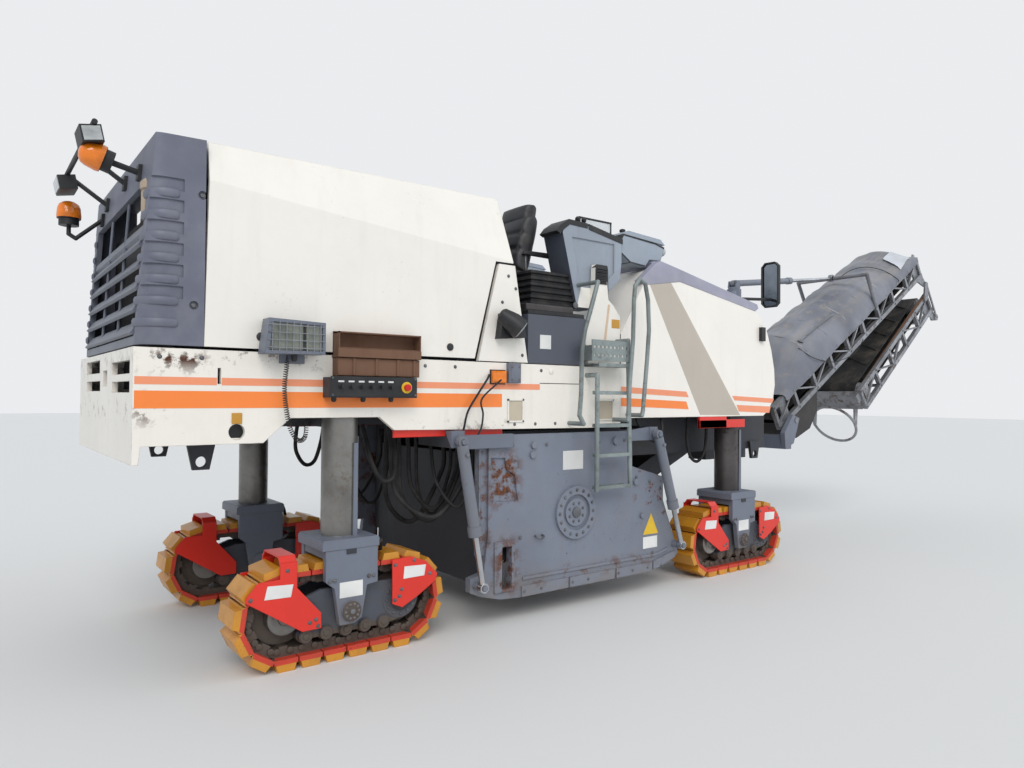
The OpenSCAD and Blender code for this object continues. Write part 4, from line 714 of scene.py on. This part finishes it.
@sides
def spot_lamp(k, s):
    """The round spotlight on the fixed panel."""
    p = Piece("spot_lamp_" + s, "machine", BLACK, LENS, k=k)
    c, d = Vector((-2640, 980, 2066)), Vector((0.66, 0.42, -0.62)).normalized()
    p.lathe(c, [(26, -8), (46, 6), (58, 50), (70, 96), (72, 168), (66, 172)], 28, 0, d)
    p.lathe(c + d * 166, [(64, 0), (63, 8), (42, 14), (6, 17)], 28, 1, d)
    p.tube([(-2600, 985, 2020), (-2590, 965, 2060), (-2570, 945, 2070)], 11)
    p.done(slot="lamp_mix")


def lean(z):
    """X of the hood's back at a height."""
    return BACK + 20 + 70 * (z - HOOD_LOW) / (HOOD_HIGH - HOOD_LOW)


def hood_parts():
    p = Piece("corner_bolts", "hood", BOLT)
    for p.k in (-1, 1):
        p.bolts(HALF - 14, 12, 8, 0, ((HOOD0 - 16, 2542), (HOOD0 - 52, 1972)))
    p.done()
    g = Piece("grille_posts", "hood", SLATE, CANISTER, MESH, SLAT)
    for y in (-260, 270):
        g.tube([(lean(z) + 12, y, z) for z in (1830, 2590)], 9, 8)
    # air filter pot behind the grille's right end
    x, y = BACK + 120, -735
    g.lathe((x, y, 2440), [(56, 0), (60, 10), (60, 120), (54, 130), (66, 134), (66, 168), (50, 186)], 24, 1,
        UP)
    g.lathe((x, y, 2380), [(30, -20), (30, 62)], 16, 0, UP)
    g.tube([(x, y, 2370), (x + 60, y, 2360), (x + 112, y, 2380)], 26, 12)
    g.box(x + 76, x + 80, -880, 880, 1790, 2560, 2)
    z = 2350
    g.prism([(lean(z) + 4, z - 4), (lean(z) + 22, z - 22), (lean(z) + 28, z + 24), (lean(z) + 10, z + 34)],
        -798, 798, 3)
    g.done()
    # raised ribs that run round the corners
    r = Piece("corner_ribs", "hood", CORNER)
    prof = [(-1, -24), (7, -20), (12, -9), (12, 9), (7, 20), (-1, 24)]
    for k in (-1, 1):
        for z in (1876 + i * 109 for i in range(7)):
            back, rad = lean(z) - 4, 120
            path = [(back + 1, HALF - rad - 14)]
            for a in (pi / 2 * j / 8 for j in range(9)):
                path.append((BACK + 20 + rad - rad * cos(a) + (back - BACK - 20) * cos(a),
                    HALF - rad + rad * sin(a)))
            path += [(BACK + 190, HALF), (HOOD0 - 128, HALF)]
            v, last = [], len(path) - 1
            for j, (x, y) in enumerate(path):
                t = (Vector(path[min(j + 1, last)]) - Vector(path[max(j - 1, 0)])).normalized()
                fade = 0.25 if j in (0, last) else 1.0
                v += [(x - t.y * h * fade, k * (y + t.x * h * fade), z + w * (0.6 + 0.4 * fade))
                      for h, w in prof]
            r.add(v, solid(len(path), len(prof)), 0, True)
    r.done(slot="slate_plastic")
    # lifting ring on top, latches of the hood
    h = Piece("hood_fittings", "hood", BLACK, BOLT)
    h.tube([(-3590, -300, 2830), (-3590, -300, 2872), (-3560, -270, 2880), (-3530, -240, 2872),
        (-3530, -240, 2830)], 7, 8, 1, 10)
    for h.k in (-1, 1):
        for x in (-3000, -4200):
            h.lathe((x, HALF - 3, 1830), [(24, 0), (24, 8), (14, 12)], 18)
    h.done()


hood_parts()


def tail_lamps():
    """Glass of the two lamps on the cross bar and of the beacons."""
    p = Piece("rear_lamp_glass", "hood", LENS, AMBER)
    # the near lamp's glass in its side, the far lamp's glass in its rear face
    p.prism([(BACK - 193, 2783), (BACK - 209, 2852), (BACK - 126, 2870), (BACK - 110, 2801)], -689.5, -697,
        inset=2)
    a, b = Vector((BACK - 190, 0, 2780)), Vector((BACK - 208, 0, 2865))
    d = (b - a).normalized()
    out = Vector((-d.z, 0, d.x)) * 5
    ends = ((a + d * 8, 410), (b - d * 8, 410), (b - d * 8, 600), (a + d * 8, 600))
    p.add([q + off + Vector((0, y, 0)) for off in (out * 0, out) for q, y in ends], solid(2, 4))
    dome = [(69.5, 0), (71, 14), (66, 66), (58, 88), (36, 105), (10, 112)]
    d = Vector((sin(radians(-73)), 0, cos(radians(-73))))
    p.lathe(Vector((BACK - 55, -600, 2715)) + d * 46, dome, 32, 1, d)
    p.lathe((BACK - 120, 600, 2644), dome, 32, 1, UP)
    p.done(slot="lamp_mix")


tail_lamps()


@sides
def mirror_parts(k, s):
    x, y, z = NOSE + 200, HALF - 185, 2610
    rim = [(-90, -180), (-55, -215), (55, -215), (90, -180), (90, 180), (55, 215), (-55, 215), (-90, 180)]
    p = Piece("mirror_glass_" + s, "machine", MIRROR)
    p.add([(x + t, k * y + a * 0.86, z + b * 0.93) for t in (9, 13) for a, b in rim], solid(2, 8))
    p.done()
    r = Piece("mirror_rim_" + s, "machine", BLACK)
    r.tube([(x - 2, k * y + a * 0.97, z + b * 0.98) for a, b in rim + rim[:1]], 9, 8)
    r.lathe((x + 30, k * y, z - 120), [(22, 0), (20, 18), (10, 24)], 14, 0, (1, 0, 0))
    r.done()


@sides
def plate_parts(k, s):
    y = PLATE_Y
    p = Piece("plate_bolts_" + s, "plate_" + s, BOLT, k=k)
    p.bolts(y + 19.5, 9, 8, 0, circle(16, 160, DRUM_X, DRUM_Z))
    p.bolts(y + 12.5, 8, 7, 0, circle(8, 68, DRUM_X, DRUM_Z, 0.5))
    p.lathe((DRUM_X, y + 12.5, DRUM_Z), [(38, 0), (38, 10), (26, 14)], 24)
    p.bolts(y, 10, 8, 0, ((-2650, 1190), (-2500, 1190), (-2200, 1185), (-1700, 1185), (-1430, 1190),
        (-1300, 900), (-1150, 860), (-1020, 800), (-2760, 300), (-2760, 270), (-1110, 300), (-2690, 560),
        (-2430, 560)))
    p.bolts(y + 13.5, 8, 6, 0, [(x + d, 196) for x in (-2400, -1960, -1500, -1180) for d in (0, 150)])
    # lifting lug
    p.tube([(-2300, y - 2, 560), (-2300, y + 26, 552), (-2270, y + 30, 540), (-2240, y + 26, 552),
        (-2240, y - 2, 560)], 7, 8, 0, 8)
    p.done(slot="steel")


def on_loop(d):
    """Place on the track's loop and its outward normal, d along it from the rear axle's top."""
    half = 2 * HALF_RUN + pi * LOOP_R
    turn, d = (-1, d - half) if d >= half else (1, d)
    a = max(d - 2 * HALF_RUN, 0) / LOOP_R
    x = min(d - HALF_RUN, HALF_RUN) + LOOP_R * sin(a)
    return turn * x, AXLE + turn * LOOP_R * cos(a), turn * sin(a), turn * cos(a)


def leg_parts(k, s, end, x0):
    body = "leg_unit_" + end + s
    p = Piece("leg_details_" + end + s, body, BOLT, CHAIN, COLUMN, DARK, HOSE, k=k)
    cheek = LEG_Y + CHEEK
    # pivot cover with its ring of bolts
    y = cheek + 55
    p.lathe((x0, y - 1, AXLE), [(56, 0), (56, 6), (48, 10)], 28, 1)
    p.bolts(y + 8, 5.5, 6, 0, circle(10, 40, x0, AXLE))
    p.lathe((x0, y + 8, AXLE), [(16, 0), (15, 8), (8, 11)], 16)
    p.bolts(cheek + 40, 9, 8, 0, [(x0 + x, 470) for x in (-130, -100, 110, 140)])
    p.box(x0 - 30, x0 + 30, cheek + 42, cheek + 46, 612, 640, 3, 1)
    # idler: dished disc and cap
    y = LEG_Y + 104
    p.lathe((x0 - HALF_RUN, y - 2, AXLE), [(94, 0), (94, 4), (84, 7), (70, 2), (42, 3), (36, 14), (20, 18),
        (6, 19)], 32, 2)
    # drive hub
    y = LEG_Y + 124
    p.lathe((x0 + HALF_RUN, y - 1, AXLE), [(66, 0), (66, 8), (56, 12), (30, 13), (24, 20), (8, 22)], 28, 3)
    p.bolts(y - 12, 7, 8, 0, circle(12, 94, x0 + HALF_RUN, AXLE))
    # caps of the rollers
    for i in range(-2, 3):
        p.lathe((x0 + i * 120, LEG_Y + 121, AXLE - 119.5), [(37, 0), (36, 5), (20, 6), (18, 11), (6, 12)],
            20, 1)
    # bolts of the guards
    p.bolts(cheek + 8, 8, 7, 0, [(x0 + x, z) for x, z in ((-560, 424), (-360, 556), (-230, 250), (-182, 224),
        (-195, 262), (300, 500), (430, 515), (330, 310), (300, 290), (540, 420), (345, 350))])
    # hose from the yoke to the drive
    p.tube([(x0 + 166, LEG_Y + 150, 640), (x0 + 205, LEG_Y + 135, 655), (x0 + 250, LEG_Y + 60, 640),
        (x0 + 262, LEG_Y + 20, 560)], 12, 10, 4, 14)
    p.done(slot="track_steel")
    # pins of the chain and bolts of the shoes, all round the loop
    t = Piece("track_pins_" + end + s, body, CHAIN, BOLT, k=k)
    for i in range(SHOES):
        x, z, nx, nz = on_loop((4 * HALF_RUN + 2 * pi * LOOP_R) * (i + 0.5) / SHOES)
        for o in (-38, 38):
            t.lathe((x0 + x - nx * 58 + nz * o, LEG_Y + 77, z - nz * 58 - nx * o),
                [(19, 0), (19, 7), (9, 9)], 14)
        # bolt heads on the shoes that go round the ends
        for y in (-105, 105) if abs(nz) <= 0.9 else ():
            t.bolt((x0 + x + nz * 44 + nx * 0.5, LEG_Y + k * y, z - nx * 44 + nz * 0.5), 8, 7, 1,
                (nx, 0, nz))
    t.done(slot="track_steel")


@sides
def legs(k, s):
    for end, x0 in ENDS:
        leg_parts(k, s, end, x0)


@sides
def cab_parts(k, s):
    """Small things on the driver's place."""
    p = Piece("console_parts_" + s, "machine", BLACK, BOLT, LENS, k=k)
    # black bars along the top edge
    p.prism([(-2072, 2716), (-2030, 2766), (-1955, 2816), (-1768, 2810), (-1768, 2772), (-1945, 2778),
        (-1990, 2744), (-2040, 2700)], 676, 874)
    p.prism([(-1758, 2808), (-1400, 2742), (-1400, 2702), (-1758, 2766)], 676, 874)
    p.lathe((-1885, 869, 2190), [(24, 0), (24, 5), (12, 9)], 16, 1)
    # levers on the console's top
    for x, top in ((-1780, -1770), (-1700, -1706)):
        p.tube([(x, 760, 2795), (top, 760, 2850)], 6, 8, 1)
        p.lathe((top, 760, 2845), [(12, 0), (19, 10), (19, 26), (8, 38)], 14, 0, UP)
    # gasket and knob of the lidded box
    p.prism([(-1412, 2733), (-1372, 2792), (-1004, 2766), (-900, 2742), (-903, 2731), (-1006, 2755),
        (-1366, 2781), (-1400, 2727)], 700, 853)
    p.prism([(-1412, 2733), (-1400, 2727), (-1400, 2650), (-1290, 2584), (-1128, 2572), (-1128, 2562),
        (-1294, 2574), (-1412, 2644)], 700, 853)
    p.lathe((-1290, 760, 2815), [(16, 0), (16, 14), (24, 18), (24, 34), (14, 40)], 16, 0, UP)
    # small lamp beside the lidded box
    p.lathe((-905, 800, 2720), [(24, 0), (34, 14), (34, 44), (28, 48)], 18, 2, (1, 0, -0.1))
    # bellows under the console
    for z in range(2360, 2480, 24):
        p.box(-1728, -1616, 918, 924, z, z + 10, 0, 2)
    p.done(slot="console_paint")
    q = Piece("clear_screen_" + s, "machine", SCREEN, BLACK, k=k)
    x0, x1, z0, z1 = -1690, -1350, 2778, 2900
    q.box(x0, x1, 690, 694, z0, z1)
    q.box(x0 - 4, x1 + 4, 686, 698, z1 - 3, z1 + 11, 1, 2)
    q.box(x0, x0 + 8, 686, 698, z0 - 26, z1, 1)
    q.box(x1 - 8, x1, 686, 698, z0 - 26, z1, 1)
    q.done()


# seats
def pillow(name, centre, half, tilt, seams=(), crown=0.2):
    """A crowned cushion of half sizes in mm, tilted about Y, with sewn channels at the seams."""
    nu, nv = 22, 18
    bm = bmesh.new()
    rot = Matrix.Rotation(radians(tilt), 3, "Y")

    def shape(u, v, side):
        # u, v in -1..1; a superellipse plan whose sides pull in between the corners
        e = (1 - abs(u) ** 4) * (1 - abs(v) ** 4)
        z = half[2] * (0.45 + 0.55 * max(e, 0) ** 0.5) * (1 + crown * (1 - u * u) * (1 - v * v))
        if side > 0:
            z -= sum(half[2] * 0.30 * exp(-((u - c) / 0.05) ** 2) for c in seams)
        else:
            z *= 0.8
        wob = noise.noise(Vector((centre[0] * 0.01 + u * 2.1, centre[1] * 0.01 + v * 2.3, side * 3.1))) * 2.2
        return Vector((u * (1 - 0.025 * (1 - abs(v))) * half[0], v * (1 - 0.025 * (1 - abs(u))) * half[1],
            side * z + wob))
    grid = {}
    for side in (1, -1):
        for i in range(nu + 1):
            for j in range(nv + 1):
                rim = i in (0, nu) or j in (0, nv)
                if side < 0 and rim:
                    grid[side, i, j] = grid[1, i, j]
                    continue
                q = shape(-1 + 2 * i / nu, -1 + 2 * j / nv, side)
                if rim:
                    q.z = 0
                grid[side, i, j] = bm.verts.new((rot @ q + Vector(centre)) * MM)
        for i in range(nu):
            for j in range(nv):
                a = [grid[side, i, j], grid[side, i + 1, j], grid[side, i + 1, j + 1], grid[side, i, j + 1]]
                bm.faces.new(a if side > 0 else a[::-1])
    bmesh.ops.recalc_face_normals(bm, faces=bm.faces)
    me = bpy.data.meshes.new(name)
    bm.to_mesh(me)
    bm.free()
    me.materials.append(VINYL)
    me.polygons.foreach_set("use_smooth", [True] * len(me.polygons))
    o = link(name, me)
    m = o.modifiers.new("soft", "SUBSURF")
    m.levels = m.render_levels = 1
    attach(o, "machine")
    return o


def bellows(p, x0, x1, y0, y1, z, step, n, fold):
    """Pleats, every second one set in by fold; the inner side is straight where y0 is negative."""
    for i in range(n):
        w = fold if i % 2 else 0
        p.box(x0 + w, x1 - w, y0 + w if y0 > 0 else -y0, y1 - w, z + i * step,
            z + i * step + int(step + 0.5), 1)


@sides
def seats(k, s):
    x, y = SEAT_X, k * SEAT_Y
    parts = [pillow("seat_cushion_" + s, (x + 775, y, 2398), (246, 208, 72), -2, (-0.35, 0.25)),
        pillow("seat_back_" + s, (x + 672, y, 2650), (222, 206, 82), -76, (-0.3, 0.3)),
        pillow("seat_head_" + s, (x + 722, y, 2880), (74, 176, 66), -78, crown=0.15)]
    for o in parts:
        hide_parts("seats")
    p = Piece("seat_base_" + s, "machine", BLACK, HOSE, BOLT, DARK_STEEL_AND_SHADE, k=k)
    # pan and rear shell
    p.prism([(x + 540, 2305), (x + 522, 2330), (x + 528, 2372), (x + 560, 2380), (x + 985, 2380),
        (x + 1000, 2352), (x + 962, 2306)], 245, 635)
    p.prism([(x + 560, 2400), (x + 592, 2650), (x + 650, 2840), (x + 668, 2838), (x + 612, 2650),
        (x + 584, 2400)], 270, 610)
    bellows(p, x + 575, x + 925, 355, 595, 2092, 23.5, 9, 22)
    # black edge and slide on the seat's box
    p.box(x + 446, x + 968, 332, 919, 2090.5, 2120)
    p.box(x + 460, x + 900, 640, 880, 2120, 2172, 3, 6)
    bellows(p, x + 520, x + 950, -604, 852, 2172, 22, 11, 14)
    for y in (262, 618):
        p.box(x + 570, x + 960, y, y + 16, 2290, 2306, 2)
    # arm rest
    p.prism([(x + 600, 2560), (x + 620, 2590), (x + 890, 2596), (x + 905, 2575), (x + 885, 2556)], 636, 668,
        inset=6)
    p.tube([(x + 640, 634, 2560), (x + 640, 640, 2400)], 11, 8, 2)
    o = p.done(bevel=4, slot="seat_black")
    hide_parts("seats")


# tarpaulin over the discharge conveyor
def conv(a, y, h):
    """A point of the first half's own frame in mm: along, across, above."""
    return (LIFT_X + a * cos(RISE) - h * sin(RISE), y, LIFT_Z + a * sin(RISE) + h * cos(RISE))


# along, and the cloth's height over the frame at the middle, the shoulders and the edge
HOOPS = [(25, 24, 22, 18), (700, 400, 350, 200), (CONV_LEN - 250, 255, 225, 90), (CONV_LEN - 36, 50, 45, 30)]
BOWS = [700 + i * BOW_STEP for i in range(7)]


def between(keys, at):
    """The values that belong to a place, from a list of (place, value, value ...)."""
    for p, q in zip(keys, keys[1:]):
        if at <= q[0]:
            t = (at - p[0]) / (q[0] - p[0])
            return [a + (b - a) * t for a, b in zip(p[1:], q[1:])]
    return keys[-1][1:]


def cloth(a, y, up):
    """A point over the cloth, near the cover's own form."""
    h1, h2, h3 = between(HOOPS, a)
    keys = [(0, h1), (40, h1), (215, h2), (384, h3), (426, max(h3 * 0.5, 12)), (440, -58)]
    return conv(a, y, FRAME_H + up + between(keys, abs(y))[0])


def cloth_row(a, nv):
    """One row of the tarpaulin's mesh across the conveyor, a along it."""
    h1, h2, h3 = between(HOOPS, a)
    sag = 16 * sin(pi * ((a - BOWS[0]) / BOW_STEP % 1)) ** 2 if BOWS[0] <= a <= BOWS[-1] else 0.0
    # across: the flap beyond the chord hangs down its outer side
    keys = [(0.0, 0, h1), (0.09, 40, h1), (0.42, 215, h2), (0.76, 384, h3), (0.86, 426, max(h3 * 0.5, 12)),
        (0.90, 432, -6), (1.0, 437, -58)]
    row = []
    for v in (-1 + 2 * j / nv for j in range(nv + 1)):
        w = abs(v)
        y, h = between(keys, w)
        y = copysign(y, v)
        n1 = noise.noise(Vector((a / 330, v * 2.2, 1.7)))
        n2 = noise.noise(Vector((a / 95 + v * 1.2, v * 3.4, 7.3)))
        fold = sin(a / 46 + 5 * n1) * 0.5 + 0.5
        h -= sag * min(1, max(0.0, 1 - w / 0.86) * 1.6) * min(1, h1 / 120)
        h += (n1 * 10 + n2 * 5 - fold * 7 * (w > 0.1)) * min(1, h1 / 60) * (0.5 if w > 0.8 else 1)
        if w > 0.88:
            y += copysign(3 + 5 * sin(a / 61 + 2.2 * n1), v)
            h += 10 * n2
        row.append(conv(a, y, FRAME_H + h + 3))
    return row


def tarpaulin():
    nu, nv = 190, 56
    arr = np.array([cloth_row(25 + (CONV_LEN - 61) * i / nu, nv) for i in range(nu + 1)])
    # smooth the corners of the section
    for _ in range(2):
        arr[:, 1:-1] = (arr[:, :-2] + arr[:, 1:-1] * 2 + arr[:, 2:]) / 4
    p = Piece("tarpaulin", "conveyor", TARP)
    p.add(arr.reshape(-1, 3), quads(nu + 1, nv + 1, nv), 0, True)
    o = p.done(smooth_all=True)
    hem = Piece("tarp_hem", "conveyor", TARP, GALV)
    for v in (0, nv):
        hem.tube(arr[::4, v], 6, 6)
    for i in range(10, nu, 18):
        for v, k in ((1, -1), (nv - 1, 1)):
            hem.lathe(arr[i, v] + (0, k * 2, 0), [(12, 0), (12, 3), (6, 3.5)], 12, 1, (0, k, 0), False)
    hem.done()
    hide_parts("conveyor_cover")
    # bows under the cloth
    b = Piece("tarp_bows", "conveyor", GALV)
    for a in BOWS:
        h1, h2, h3 = between(HOOPS, a)
        half = [(415, 6), (384, h3 - 4), (215, h2 - 6), (60, h1 - 6)]
        pts = [(-y, h) for y, h in half] + half[::-1]
        b.tube([conv(a, y, FRAME_H + h - 14) for y, h in pts], 9, 8, 0, 24)
    b.done()


tarpaulin()


def cover_fittings():
    cord("cover_cable_a", [cloth(2334, -13, 12), cloth(2560, -34, 16), cloth(2704, -118, 18),
        cloth(2754, -239, 20), cloth(2818, -361, 20), conv(2877, -446, 289), conv(2900, -444, 240)], 9,
        body="conveyor")
    cord("cover_cable_b", [cloth(655, -335, 12), conv(700, -446, 366), conv(984, -452, 155),
        conv(1213, -454, 60), conv(1435, -454, 6), conv(1620, -450, 8), conv(1760, -438, 30)], 9,
        body="conveyor")
    p = Piece("cover_fittings", "conveyor", FLAP, GALV)
    # loose end of the cover beside the head
    n, m = 8, 6
    v = []
    for s in (i / n for i in range(n + 1)):
        for t in (j / m for j in range(m + 1)):
            y = -(245 - 15 * s) * (1 - t) - (428 - 22 * s) * t
            v.append(cloth(3060 + 300 * s + 50 * t * s, y, 18 + 5 * sin(7 * s + 3 * t)))
    p.add(v, quads(n + 1, m + 1, m), 0, True)
    # stay rod on the cloth with its plate
    p.tube([cloth(760, -317, 20), cloth(1150, -323, 22), cloth(1480, -332, 20)], 9, 8, 1)
    p.lathe(cloth(760, -317, 12), [(34, 0), (34, 6), (12, 10)], 12, 1, (0, -0.4, 1))
    p.done()


cover_fittings()


def fold(a, y, h):
    """A point of the folding half's own frame, turned about the hinge."""
    x, z = a + 10, h + 120
    return conv(CONV_LEN + 10 + x * cos(FOLD_TURN) + z * sin(FOLD_TURN), y,
        -120 - x * sin(FOLD_TURN) + z * cos(FOLD_TURN))


def lattice(name, body, place, start, length, more):
    """Bolts at the joints of the lattice."""
    p = Piece(name, body, BOLT)
    n = round(length / LATTICE_STEP)
    for k in (-1, 1):
        for i in range(n + more):
            for h in (25, FRAME_H - 25):
                p.bolt(place(start + i * (length - 40) / n + 20, k * CONV_HALF, h), 9, 7, d=(0, k, 0))
    p.done()


lattice("lattice_bolts", "conveyor", conv, -200, CONV_LEN + 200, 0)
lattice("fold_details", "fold", fold, 0, FOLD_LEN, 1)


def cleats(name, body, place, start, length):
    """Cleats in a chevron on both runs of a belt."""
    p = Piece(name, body, BELT)
    plan = ((0, 8), (22, 8), (172, 262), (150, 262))
    faces = [(0, 2, 4, 6), (1, 3, 5, 7), (0, 1, 3, 2), (2, 3, 5, 4), (4, 5, 7, 6), (6, 7, 1, 0)]
    for side in (1, -1):
        for a in (start + 60 + i * CLEAT_STEP for i in range(int(length / CLEAT_STEP))):
            for k in (-1, 1):
                p.add([place(a + da, k * y, 125 + side * h) for da, y in plan for h in (109, 124)], faces)
    p.done(slot="belt_rubber")


cleats("belt_cleats", "conveyor", conv, 0, CONV_LEN - 110)
cleats("fold_cleats", "fold", fold, 120, FOLD_LEN - 280)


@sides
def red_bars(k, s):
    """Red bar under the tank and red edge under the skirt."""
    p = Piece("red_bar_" + s, "machine", RED, k=k)
    p.box(-531, -170, 897, 925, 1262, 1361, 0, 3)
    p.box(-531, 88, 903, 925, 1262, 1333, 0, 3)
    p.box(-3380, -2560, 880, 897, 1262, 1310, 0, 3)
    p.done(bevel=2)


@sides
def cover_flange(k, s):
    """The cover's edge, folded over the tank's side."""
    p = Piece("cover_flange_" + s, "machine", COVER, k=k)
    p.prism([(-1262, 2433), (-1091, 2575), (-1030, 2610), (-816, 2572), (263, 2366), (282, 2330),
        (233, 2300), (-790, 2464), (-1205, 2399)], 862, 929)
    p.done(bevel=4)


# stage, lamps, world
def floor():
    me = bpy.data.meshes.new("floor")
    me.from_pydata([(-60, -60, 0), (60, -60, 0), (60, 60, 0), (-60, 60, 0)], [], [(0, 1, 2, 3)])
    m = bpy.data.materials.new("floor")
    m.use_nodes = True
    b = m.node_tree.nodes["Principled BSDF"]
    b.inputs["Base Color"].default_value = (0.70, 0.70, 0.695, 1)
    b.inputs["Roughness"].default_value = 0.8
    me.materials.append(m)
    link("floor", me)


def studio():
    """A bluish sky that lights the machine, and a plain grey one that the camera sees."""
    w = bpy.data.worlds.new("studio")
    bpy.context.scene.world = w
    w.use_nodes = True
    n, l = w.node_tree.nodes, w.node_tree.links
    n["Background"].inputs["Color"].default_value = (0.90, 0.95, 1.0, 1)
    n["Background"].inputs["Strength"].default_value = 0.74
    bg, mx = n.new("ShaderNodeBackground"), n.new("ShaderNodeMixShader")
    bg.inputs["Color"].default_value = (0.83, 0.84, 0.86, 1)
    l.new(n.new("ShaderNodeLightPath").outputs["Is Camera Ray"], mx.inputs[0])
    l.new(n["Background"].outputs[0], mx.inputs[1])
    l.new(bg.outputs[0], mx.inputs[2])
    l.new(mx.outputs[0], n["World Output"].inputs["Surface"])


def sun(name, strength, angle, d, col):
    s = bpy.data.lights.new(name, "SUN")
    s.energy, s.angle, s.color = strength, radians(angle), col
    link(name, s).rotation_euler = Vector(d).to_track_quat("-Z", "Y").to_euler()


floor()
studio()
sun("key", 1.35, 35, (0.45, 0.75, -0.75), (1.0, 0.97, 0.93))
sun("fill", 0.45, 60, (-0.8, 0.5, -0.45), (0.93, 0.96, 1.0))
v = bpy.context.scene.view_settings
v.view_transform = "Standard"
